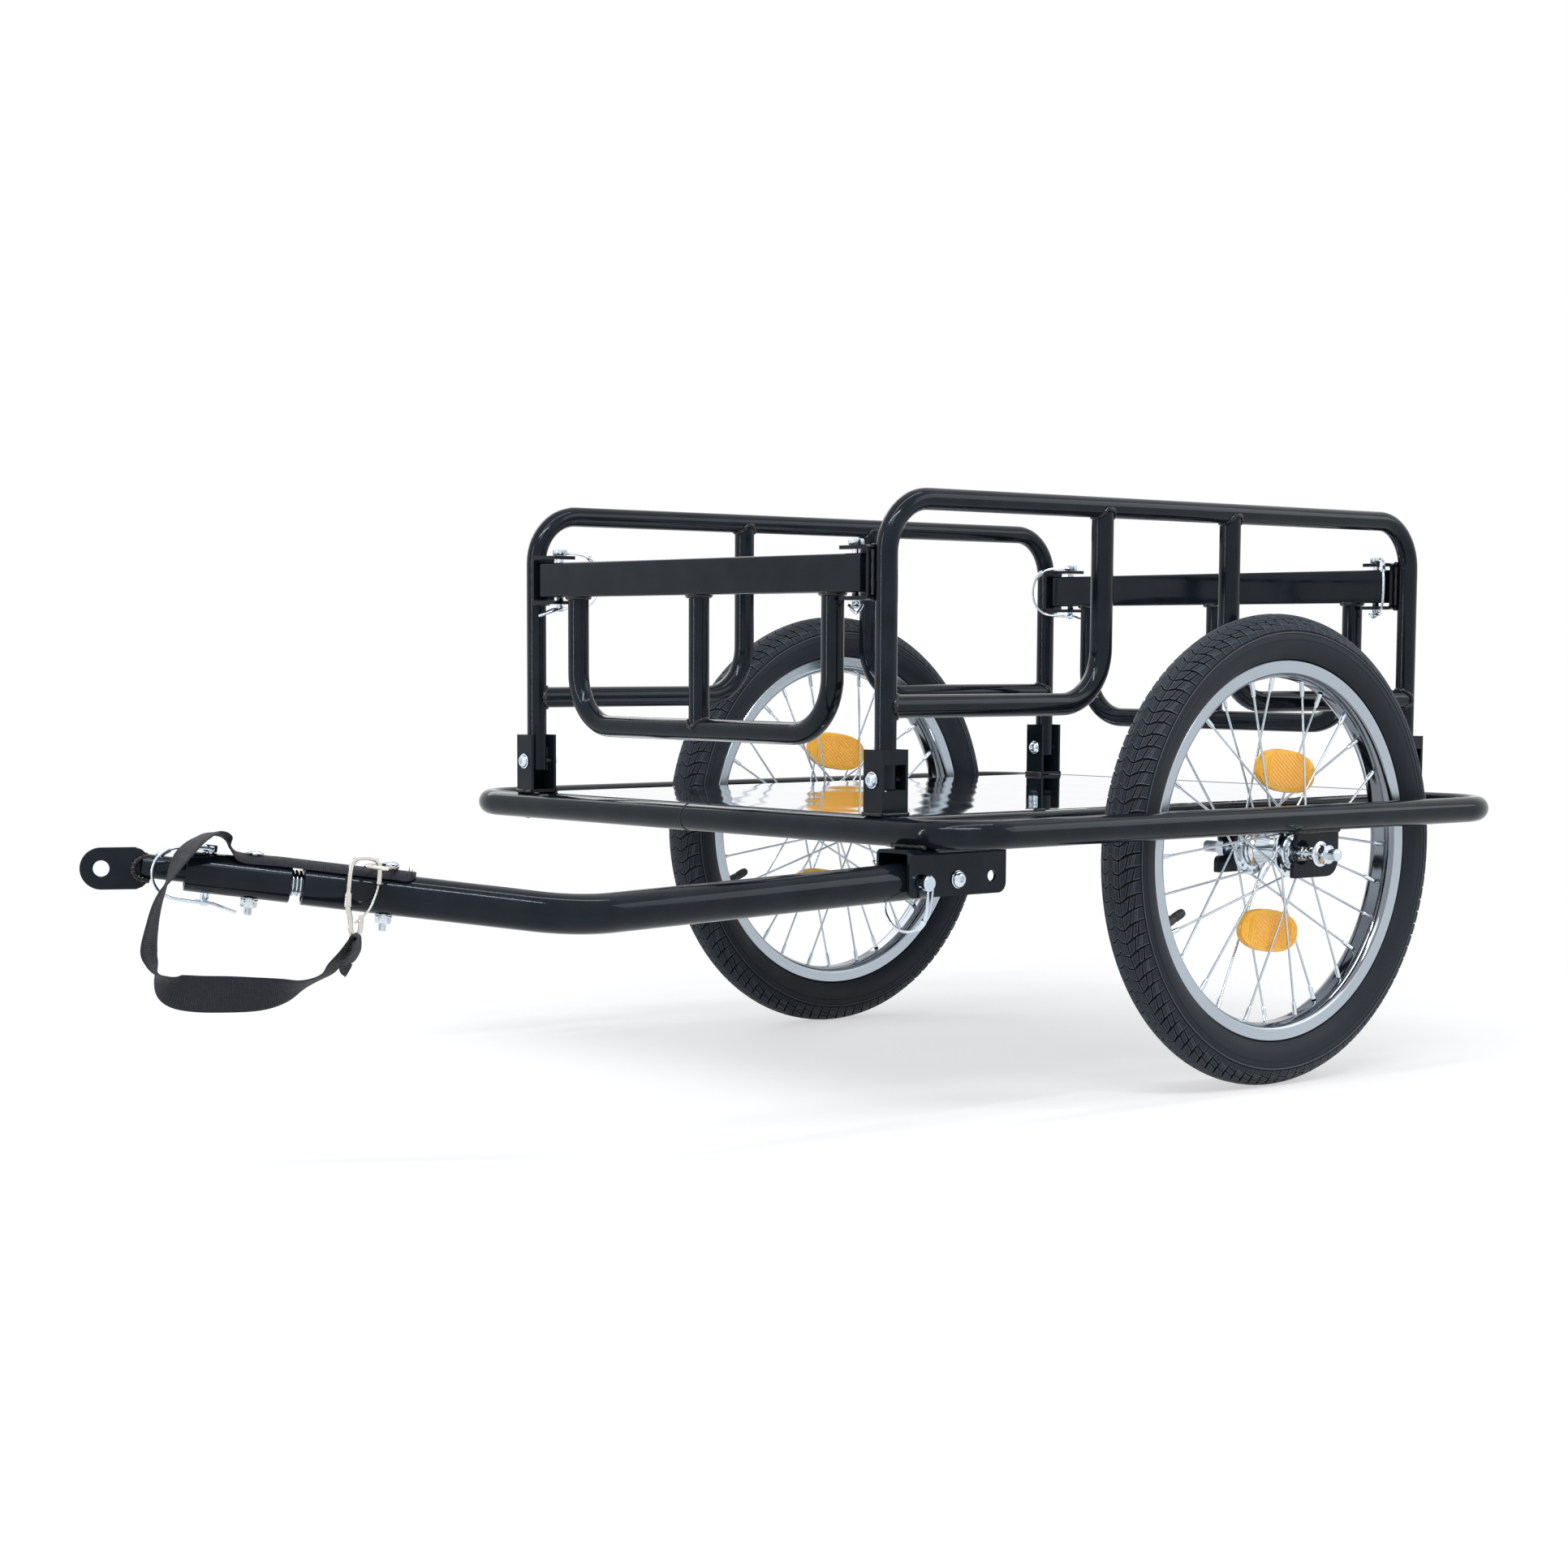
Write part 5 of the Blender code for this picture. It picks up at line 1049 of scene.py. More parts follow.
def tyre(side_name, side):
    """Tyre with cut tread blocks whose grooves arch forward, a shoulder ridge, smooth walls and beads."""
    centre = wheel_centre(side)
    pitches = 108
    section = TYRE_HALF_WIDTH
    middle = TYRE_RADIUS - section
    depth = 0.0017
    full_lean = 6.5
    # Places of the rows within one pitch, with the height share and the painted light of the cross groove
    # there: 0 paints shade in the groove, 1 and 0.75 paint highlights on its edges
    rows = [(0.028, 0.0, 0.0), (0.068, 1.12, 1.0), (0.15, 1.0, 0.5), (0.30, 1.0, 0.5), (0.50, 1.0, 0.5),
            (0.70, 1.0, 0.5), (0.86, 1.0, 0.5), (0.935, 1.12, 0.75), (0.972, 0.0, 0.0)]
    half_section = tread_columns()
    columns = [(-c[0],) + c[1:] for c in reversed(half_section[1:])] + half_section
    count = len(columns)
    steps = pitches * len(rows)
    turn, angle, size, tone = np.zeros((4, steps, count))
    for i in range(steps):
        pitch = i // len(rows)
        at, gap_height, gap_painted_light = rows[i % len(rows)]
        for j, (place, height, painted_light, shift, lean, kind) in enumerate(columns):
            turn[i, j] = pitch + at + shift
            angle[i, j] = place + math.copysign(lean, place) * full_lean * (at - 0.5)
            if kind == "e" and pitch % 2:
                height, painted_light = 1.0, 0.5
            if kind != "-" and gap_height == 0.0:
                height, painted_light = 0.0, min(painted_light, gap_painted_light)
            elif kind != "-":
                height, painted_light = (max(height, gap_height), max(painted_light, gap_painted_light)) if height else (0.0, 0.0)
            size[i, j] = section - depth + depth * min(height, 1.12)
            tone[i, j] = painted_light
    radians = np.radians(angle)
    theta = 2 * math.pi * turn / pitches

    def around(radius, theta, y):
        """Points at a radius and turn about the axle."""
        return np.stack([radius * np.cos(theta) + centre.x, y + centre.y, radius * np.sin(theta) + centre.z],
                        axis=-1)

    verts = [around(middle + size * np.cos(radians), theta, size * np.sin(radians)).reshape(-1, 3)]
    # Smooth walls with a moulded line, and beads: rings of points below the tread's outer columns
    lower = []
    for degrees in (77.0, 82.0, 86.6, 87.4, 88.2, 94.0, 102.0, 110.0, 118.0, 126.0):
        at = math.radians(degrees)
        out = section - 0.0014 + (0.0004 if degrees == 87.4 else 0.0)
        lower.append((middle + out * math.cos(at), out * math.sin(at)))
    lower += [(RIM_FLANGE_RADIUS + 0.0009, RIM_HALF_WIDTH), (RIM_FLANGE_RADIUS + 0.0004, 0.0107),
              (RIM_FLANGE_RADIUS - 0.004, 0.0107)]
    edges = ((-1.0, 0), (1.0, count - 1))
    for sense, column in edges:
        verts += [around(out, theta[:, column], np.full(steps, sense * width)) for out, width in lower]
    rings = 2 * len(lower)
    follow = [(i, (i + 1) % steps) for i in range(steps)]
    faces = [(i * count + j, n * count + j, n * count + j + 1, i * count + j + 1)
             for i, n in follow for j in range(count - 1)]
    materials = [0] * len(faces)
    here = steps * count
    for _, column in edges:
        above = [i * count + column for i in range(steps)]
        for _ in lower:
            ring = range(here, here + steps)
            faces += [(above[i], above[n], ring[n], ring[i]) for i, n in follow]
            above = ring
            here += steps
    materials += [1] * (len(faces) - len(materials))
    mesh = bpy.data.meshes.new(side_name + "_tyre_tread")
    mesh.from_pydata(np.concatenate(verts).tolist(), [], faces)
    mesh.materials.append(TREAD)
    mesh.materials.append(SIDEWALL)
    mesh.polygons.foreach_set("material_index", materials)
    # The tone attribute carries the painted light to the tread's colour: shade in the grooves and highlights
    # on the block edges, plain on the walls.
    tones = np.concatenate([tone.ravel(), np.full(steps * rings, 0.5)])
    mesh.attributes.new("tone", "FLOAT", "POINT").data.foreach_set("value", tones.astype(np.float32))
    layer = mesh.uv_layers.new(name="around")
    corner = np.zeros(len(mesh.loops), dtype=np.int32)
    mesh.loops.foreach_get("vertex_index", corner)
    along = np.concatenate([theta.ravel(), np.tile(theta[:, 0], rings)]) * TYRE_RADIUS
    sideways = np.concatenate([np.abs(radians).ravel(), np.zeros(rings * steps)]) * section
    flat = np.stack([along[corner], sideways[corner]], axis=-1)
    layer.data.foreach_set("uv", flat.astype(np.float32).ravel())
    turned_outward(mesh)
    smoothed(mesh, 38.0)
    made = placed(side_name + "_tyre_tread", mesh)
    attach(made, side_name + "_wheel")
    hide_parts(side_name + "_tyre")


def rim(side_name, side):
    """Rolled rim: curled flanges, a drop centre and a shallow outer channel."""
    body = side_name + "_wheel"
    centre = wheel_centre(side)
    half = RIM_HALF_WIDTH
    flange = RIM_FLANGE_RADIUS
    bed = RIM_BED_RADIUS
    shoulder = bed + 0.004
    profile = [
        (shoulder + 0.0018, half - 0.0028), (flange - 0.003, half - 0.0019), (flange - 0.0008, half - 0.0019),
        (flange, half - 0.0012), (flange, half - 0.0006), (flange - 0.0007, half),
        (flange - 0.003, half - 0.0002),
        (flange - 0.006, half - 0.0006), (shoulder + 0.002, half - 0.0008), (shoulder, half - 0.0012),
        (shoulder - 0.0016, half - 0.0028), (bed + 0.0005, 0.0070), (bed, 0.0055), (bed, 0.003),
        (bed + 0.0003, 0.0),
    ]
    mirrored = [(r, -y) for r, y in reversed(profile[:-1])]
    inner = [(bed + 0.0018, -0.0045), (bed + 0.0018, 0.0045)]
    hoop = piece(side_name + "_rim_hoop", body, RIM,
                 lambda s: lathe(s, profile + mirrored + inner, centre, (0, 1, 0), 192, closed=True),
                 [side_name + "_rim"], extra=[RIM_BED])
    for face in hoop.data.polygons:
        out = face.center - centre
        out.y = 0.0
        near_hub = out.length < shoulder - 0.0002
        face.material_index = 1 if near_hub and face.normal.dot(out) < 0 else 0

    def joint(s):
        """A hair line across the hoop, where it is closed."""
        for degrees in (96.0, 96.35):
            angle = math.radians(degrees)
            out = Vector((math.cos(angle), 0, math.sin(angle)))
            sweep(s, [centre + out * (bed - 0.00005) + Vector((0, y, 0)) for y in (-0.0054, 0.0, 0.0054)],
                  0.00018, 6)

    piece(side_name + "_rim_joint", body, DARK, joint)


def spoke_ends(index):
    """Both ends of a spoke from the wheel's centre, the side of its flange and the way of its pull."""
    flange = 1.0 if index % 2 == 0 else -1.0
    pull = 1.0 if (index // 2) % 2 == 0 else -1.0
    rim_angle = math.radians(index * (360.0 / SPOKE_COUNT))
    hub_angle = rim_angle + math.radians(pull * SPOKE_CROSS_ANGLE)
    hub_radius = HUB_FLANGE_RADIUS - SPOKE_HOLE_INSET
    offset = HUB_FLANGE_SPACING / 2 - 0.0015 + pull * 0.0017
    start = Vector((hub_radius * math.cos(hub_angle), flange * offset, hub_radius * math.sin(hub_angle)))
    rim_radius = RIM_BED_RADIUS * math.cos(math.pi / 40) - GAP
    end = Vector((rim_radius * math.cos(rim_angle), flange * 0.0025, rim_radius * math.sin(rim_angle)))
    return start, end, flange, pull


def spokes(side_name, side):
    body = side_name + "_wheel"
    centre = wheel_centre(side)
    ends = [spoke_ends(index) for index in range(SPOKE_COUNT)]

    def wires(s):
        for start, end, flange, pull in ends:
            along = (end - start).normalized()
            # J bend: the spoke's head sits on one face of the flange, the wire leaves from the other
            head = start + Vector((0, -flange * pull * 0.0036, 0))
            path = [head, head.lerp(start, 0.6), start + along * 0.0006, start + along * 0.004,
                    start.lerp(end, 0.5),
                    end - along * 0.011]
            sweep(s, [centre + p for p in path], 0.00098, 10)
            disc(s, centre + head, (0, -flange * pull, 0), 0.0019, -0.0004, 0.0006, 14)

    piece(side_name + "_spokes", body, SPOKE, wires)

    def nipples(s):
        for start, end, *_ in ends:
            lathe(s, [(0.0, 0.0006), (0.0021, 0.0004), (0.0021, -0.0006), (0.0019, -0.001), (0.0019, -0.009),
                      (0.0015, -0.0115), (0.0011, -0.0121)], centre + end, end - start, 14)

    piece(side_name + "_nipples", body, ZINC, nipples)


def hub(side_name, side):
    """Hub shell with flanges, a stepped barrel and dark bearing cups; the spoke holes are dark discs of
    painted shade on the flange faces.
    """
    body = side_name + "_wheel"
    centre = wheel_centre(side)
    half = HUB_FLANGE_SPACING / 2
    barrel = HUB_BARREL_RADIUS
    flange = HUB_FLANGE_RADIUS
    profile = raised([
        (0.0095, 0.0066), (0.0128, 0.0066), (0.0135, 0.0060), (0.0135, 0.0015), (0.0145, 0.0),
        (flange - 0.0008, 0.0),
        (flange, -0.0006), (flange, -0.0024), (flange - 0.0008, -0.003), (0.0150, -0.003), (0.0142, -0.0036),
        (0.0142, -0.0062), (0.0132, -0.0072), (0.0132, -0.0094), (barrel + 0.0008, -0.0112), (barrel, -0.013),
    ], half)
    mirrored = [(r, -y) for r, y in reversed(profile)]
    piece(side_name + "_hub_shell", body, ZINC,
          lambda s: lathe(s, profile + mirrored, centre, (0, 1, 0), 72), [side_name + "_hub"])

    def cups(s):
        for sense in (1.0, -1.0):
            lathe(s, raised([(0.0055, 0.0058), (0.0078, 0.0062), (0.0080, 0.0056), (0.0088, 0.0056),
                             (0.0090, 0.0068),
                             (0.0097, 0.0070), (0.0100, 0.0064)], half), centre, (0, sense, 0), 48)

    piece(side_name + "_bearing_cups", body, DARK, cups)

    # Painted shade: each spoke hole is a thin dark disc on a flange face, not a cut through it.
    def holes(s):
        count = SPOKE_COUNT // 2
        for sense in (1.0, -1.0):
            for k in range(count):
                angle = 2 * math.pi * (k + 0.5 * (sense > 0) + 0.25) / count
                out = Vector((math.cos(angle), 0, math.sin(angle))) * (flange - SPOKE_HOLE_INSET)
                for face, way in ((half, sense), (half - 0.003, -sense)):
                    lathe(s, [(0.0, 0.00008), (0.0011, 0.00008), (0.00135, 0.0)],
                          centre + out + Vector((0, sense * face, 0)), (0, way, 0), 14)

    piece(side_name + "_flange_hole_shade", body, DARK, holes)


def valve(side_name, side):
    body = side_name + "_wheel"
    centre = wheel_centre(side)
    angle = math.radians(-22.7)
    out = Vector((math.cos(angle), 0, math.sin(angle)))
    bed = RIM_BED_RADIUS
    cap_radius = 0.0036

    def cap(s):
        lathe(s, raised([(0.0, -0.0262), (0.0026, -0.0260), (0.0034, -0.0252), (cap_radius, -0.0235),
                         (cap_radius, -0.0145), (0.0033, -0.0140), (0.0, -0.0140)], bed), centre, out, 28)
        for k in range(14):
            turn = 2 * math.pi * k / 14
            rib = Vector((-out.z * math.cos(turn), math.sin(turn), out.x * math.cos(turn))) * cap_radius
            sweep(s, [centre + out * (bed - 0.0232) + rib, centre + out * (bed - 0.0148) + rib], 0.0003, 6)

    piece(side_name + "_valve_cap", body, CAP, cap, [side_name + "_valve"])
    stem = raised([(0.0032, -0.0142), (0.0032, -0.0125), (0.0040, -0.0120), (0.0042, -0.004),
                   (0.0046, 0.001)], bed)
    piece(side_name + "_valve_stem", body, CAP, lambda s: lathe(s, stem, centre, out, 24))


def oval(half_length, half_height):
    """Points round an oval with blunt ends."""
    angles = [2 * math.pi * k / 56 for k in range(56)]
    return [(half_length * math.copysign(abs(math.cos(a)) ** 0.8, math.cos(a)),
             half_height * math.copysign(abs(math.sin(a)) ** 0.8, math.sin(a))) for a in angles]


def reflector(side_name, side):
    """Domed oval of amber plastic with clear clip ends and a prismatic middle, on both faces."""
    body = side_name + "_wheel"
    tilt = math.radians(98.0)
    turn = Matrix.Rotation(math.pi / 2 - tilt, 3, "Y")
    long, high, half = 0.03675, 0.01775, 0.0033
    for label, direction in (("upper", 1.0), ("lower", -1.0)):
        middle = Vector((math.cos(tilt), 0, math.sin(tilt))) * (direction * 0.067)
        centre = wheel_centre(side) + Vector((0, side * 0.005, 0)) + middle

        def at(x, y, z):
            return centre + turn @ Vector((x, y, z))

        def shell(s):
            skin(s, [[s.verts.new(at(x, y, z)) for x, z in oval(long - inset, high - inset)] for inset, y in
                     ((0.0040, -half), (0.0008, -half + 0.0004), (0.0, -0.0012), (0.0, 0.0012),
                      (0.0008, half - 0.0004),
                      (0.0040, half))])
            # Moulded clip ribs and dots at both ends
            for sense in (1.0, -1.0):
                for face in (1.0, -1.0):
                    for x, reach in ((0.0235, 0.0105), (0.0262, 0.0085)):
                        sweep(s, [at(sense * x, face * (half + 0.0001), z) for z in (-reach, 0.0, reach)],
                              0.0005, 8)
                    for z in (-0.0055, 0.0055):
                        disc(s, at(sense * 0.0305, face * half, z), (0, face, 0), 0.0009, -0.0003, 0.0004, 12,
                             0.0002)

        piece(side_name + "_" + label + "_reflector_body", body, AMBER, shell,
              [side_name + "_reflector_" + label])

        def prisms(s):
            edge = [(max(-0.0205, min(0.0205, x)), z) for x, z in oval(long * 0.92, high - 0.0038)]
            for face in (1.0, -1.0):
                loop, low = [[s.verts.new(at(x, face * y, z)) for x, z in edge]
                             for y in (half + 0.0001, half - 0.0005)]
                s.faces.new(loop)
                bridge(s, loop, low)

        piece(side_name + "_" + label + "_reflector_prisms", body, PRISM, prisms)


def axle(side_name, side):
    """Threaded axle with cones, spacers and flanged nuts."""
    centre = wheel_centre(side)
    out = Vector((0, side, 0))
    outer = RING_HALF_WIDTH - WHEEL_Y
    inner = INNER_RAIL_Y - WHEEL_Y
    hub_end = HUB_FLANGE_SPACING / 2 + 0.007

    def shaft(s):
        lathe(s, [(0.0, 0.0720), (0.0022, 0.0718), (0.0040, 0.0708), (0.0047, 0.0694), (0.0049, 0.0680),
                  (0.0049, 0.0560)],
              centre, out, 28)
        thread(s, centre, out, 0.0049, -0.0718, -0.0500)
        thread(s, centre, out, 0.0049, outer + 0.0018, 0.0700)
        lathe(s, [(0.0047, 0.0565), (0.0047, -0.0505)], centre, out, 24)
        for near, far in ((hub_end + 0.0004, outer - 0.0024), (-hub_end - 0.0004, inner + 0.0024)):
            cone_end = near + (far - near) * 0.42
            spacer_end = near + (far - near) * 0.6
            hexagon(s, centre, out, 0.0064, *sorted((near, cone_end)))
            disc(s, centre, out, 0.0056, *sorted((cone_end, spacer_end)), 28)
            hexagon(s, centre, out, 0.0066, *sorted((spacer_end, far)))

    piece(side_name + "_axle_shaft", "frame", ZINC, shaft, [side_name + "_axle"])
    for label, start, way in (("outer", outer + 0.002 + OUTER_NUT_STANDOFF, out),
                              ("inner", inner - 0.0023, -out)):
        at = centre + out * start

        def nut(s):
            lathe(s, [(0.0050, 0.0), (0.0100, 0.0), (0.0105, 0.0004), (0.0105, 0.0014), (0.0098, 0.0020),
                      (0.0084, 0.0024), (0.0050, 0.0024)], at, way, 36)
            hexagon(s, at, way, 0.0089, 0.0018, 0.0099, chamfer=0.0012)
            lathe(s, [(0.0050, 0.0100), (0.0060, 0.0100), (0.0064, 0.0097)], at, way, 28)

        piece(side_name + "_" + label + "_flange_nut", "frame", ZINC, nut,
              [side_name + "_" + label + "_axle_nut"])


def dropouts():
    for side_name, side in SIDES:
        for label, y, radius, z in (("outer", RING_HALF_WIDTH, RING_TUBE_RADIUS, RING_Z),
                                    ("inner", INNER_RAIL_Y, RAIL_RADIUS, INNER_RAIL_Z)):
            bevelled(side_name + "_" + label + "_dropout", 0.0006)

            def seam(s):
                under = z - radius + 0.0004
                for sense in (1.0, -1.0):
                    beside = side * y + sense * 0.0030
                    bead(s, straight(row(-0.0345, beside, under), row(0.0205, beside, under), 22), 0.0020)

            piece(side_name + "_" + label + "_dropout_weld", "frame", WELD, seam)


# Tow arm and its bracket
def bored(made, cutters):
    """Cuts the given (name, build) solids out of a piece and keeps the result as its mesh."""
    tools = []
    for name, build in cutters:
        tool = placed(name, mesh_of(name, build))
        step = made.modifiers.new(name, "BOOLEAN")
        step.operation = "DIFFERENCE"
        step.solver = "EXACT"
        step.object = tool
        tools.append(tool)
    view = bpy.context.evaluated_depsgraph_get()
    cut = bpy.data.meshes.new_from_object(made.evaluated_get(view))
    made.modifiers.clear()
    made.data = cut
    smoothed(cut, 40.0)
    for tool in tools:
        bpy.data.objects.remove(tool, do_unlink=True)


def arm_channel():
    """Bent channel that holds the arm: rounded folds, rounded lower corners, two round holes and an
    arc-shaped slot.
    """
    half = ARM_BRACKET_HALF - GAP
    top = RING_Z - RING_TUBE_RADIUS - GAP
    low = top - ARM_BRACKET_HEIGHT
    front, rear = ARM_PIVOT_X + ARM_BRACKET_FRONT, ARM_PIVOT_X - ARM_BRACKET_REAR
    fold = 0.0042
    stations = arc((front - 0.004, low + 0.004), 0.004, -90.0, 0.0, 6)
    stations += arc((rear + 0.008, low + 0.008), 0.008, -90.0, -180.0, 8)
    stations += [(front - 0.012, low), (rear + 0.03, low)]
    stations.sort()

    def across(bottom, inset):
        wide, high, turn = half - inset, top - inset, fold - inset
        edge = [(wide, bottom), (wide, (bottom + high - turn) / 2), (wide, high - turn)]
        edge += arc((wide - turn, high - turn), turn, 0.0, 90.0, 6)[1:]
        return edge + [(-a, b) for a, b in reversed(edge)]

    def channel(s):
        rings = [[s.verts.new(row(x, ARM_Y + a, b))
                  for a, b in across(bottom, 0.0) + list(reversed(across(bottom, ARM_BRACKET_SHEET)))]
                 for x, bottom in stations]
        for first, second in zip(rings, rings[1:]):
            bridge(s, first, second)
        cap_strip(s, rings[0])
        cap_strip(s, rings[-1])

    made = piece("arm_channel", "frame", POWDER, channel, ["arm_bracket"])
    pivot = row(ARM_PIVOT_X, ARM_Y, ARM_PIVOT_Z)
    forward = (ARM_CORNER - pivot).normalized()
    size = ARM_HOLE_RADIUS

    def holes(s):
        for at in (0.0, -ARM_HOLE_PITCH):
            lathe(s, [(0.0, -0.03), (size, -0.03), (size, 0.03), (0.0, 0.03)], pivot + forward * at,
                  (0, 1, 0), 32)

    def slot(s):
        edge = arc((0.0, 0.0), ARM_HOLE_PITCH + size, 8.0, -45.0, 12)
        edge += arc((0.0, 0.0), ARM_HOLE_PITCH - size, -45.0, 8.0, 12)
        first, second = [[s.verts.new(pivot + Vector((x, y, z))) for x, z in edge] for y in (-0.04, 0.04)]
        bridge(s, first, second)
        cap_strip(s, first)
        cap_strip(s, second)

    bored(made, [("channel_holes", holes), ("channel_slot", slot)])


def tow_arm():
    start = row(ARM_PIVOT_X, ARM_Y, ARM_PIVOT_Z)
    back = (start - ARM_CORNER).normalized()
    path = fillet([start + back * ARM_TAIL, ARM_CORNER, on_arm(ARM_END)], ARM_BEND, steps=24)
    path[-1] = path[-1] - ARM_ALONG * 0.0166

    def mouth(s):
        """Open end with a wall, so that the spring shows inside it."""
        outside = ARM_TUBE_RADIUS + 0.00004
        inside = ARM_TUBE_RADIUS - ARM_WALL
        lathe(s, [(inside, -0.0165), (inside, -0.0003), (inside + 0.0004, 0.0), (outside - 0.0005, 0.0),
                  (outside, -0.0005), (outside, -0.0660), (outside - 0.0006, -0.0661)],
              on_arm(ARM_END), ARM_ALONG, 40)

    piece("arm_tube", "tow_arm_body", POWDER, lambda s: sweep(s, path, ARM_TUBE_RADIUS, 40), ["tow_arm"])
    piece("arm_mouth", "tow_arm_body", POWDER, mouth)
    arm_channel()

    def seams(s):
        z = RING_Z - RING_TUBE_RADIUS + 0.0016
        for sense in (1.0, -1.0):
            x = RING_FRONT_X + sense * 0.0062
            bead(s, straight(row(x, ARM_Y - 0.0178, z), row(x, ARM_Y + 0.0178, z), 18), 0.0022)

    piece("arm_bracket_weld", "frame", WELD, seams)
    half = ARM_BRACKET_HALF
    axis = (0, 1, 0)

    def bolt(s):
        disc(s, start, axis, 0.0068, half, half + 0.001)
        lathe(s, raised([(0.0, 0.0009), (0.0062, 0.0009), (0.0063, 0.0016), (0.0056, 0.0034),
                         (0.0038, 0.0044),
                         (0.0024, 0.0045), (0.0022, 0.0022), (0.0, 0.0022)], half), start, axis, 36)
        lathe(s, [(0.0039, half), (0.0039, -half)], start, axis, 24)
        hexagon(s, start, axis, 0.0074, -half - 0.0065, -half - 0.0005)
        thread(s, start, axis, 0.0039, -half - 0.0090, -half - 0.0060)

    piece("arm_pivot_screw", "frame", ZINC, bolt, ["arm_pivot_bolt"])
    lock_pin("arm_lock_pin", "tow_arm_body", "arm_lock_pin", start - back * ARM_HOLE_PITCH, axis, (0, 0, -1),
             (0.004, 0.006, -half - 0.008, half + 0.003), (0.038, 0.013, 0.012))


def through_bolt(name, at, tube_radius, body, node, lift=0.0):
    """Dome-headed bolt through the strap and tube, with a flanged nut below."""
    top = tube_radius + STRAP_THICKNESS + 0.0009 + lift
    low = -tube_radius - GAP
    centre = on_arm(at)

    def shape(s):
        lathe(s, raised([(0.0, 0.0026), (0.0022, 0.0025), (0.0045, 0.0019), (0.0060, 0.0009),
                         (0.0065, 0.0003),
                         (0.0063, 0.0), (0.0030, 0.0)], top) + [(0.0030, low)], centre, ARM_UP, 36)
        lathe(s, raised([(0.0030, 0.0), (0.0058, 0.0), (0.0061, -0.0004), (0.0061, -0.0011),
                         (0.0054, -0.0016)], low),
              centre, ARM_UP, 32)
        hexagon(s, centre, ARM_UP, 0.0055, low - 0.0056, low - 0.0012)
        thread(s, centre, ARM_UP, 0.0029, low - 0.0110, low - 0.0050, 0.0008)

    piece(name, body, ZINC, shape, [node])


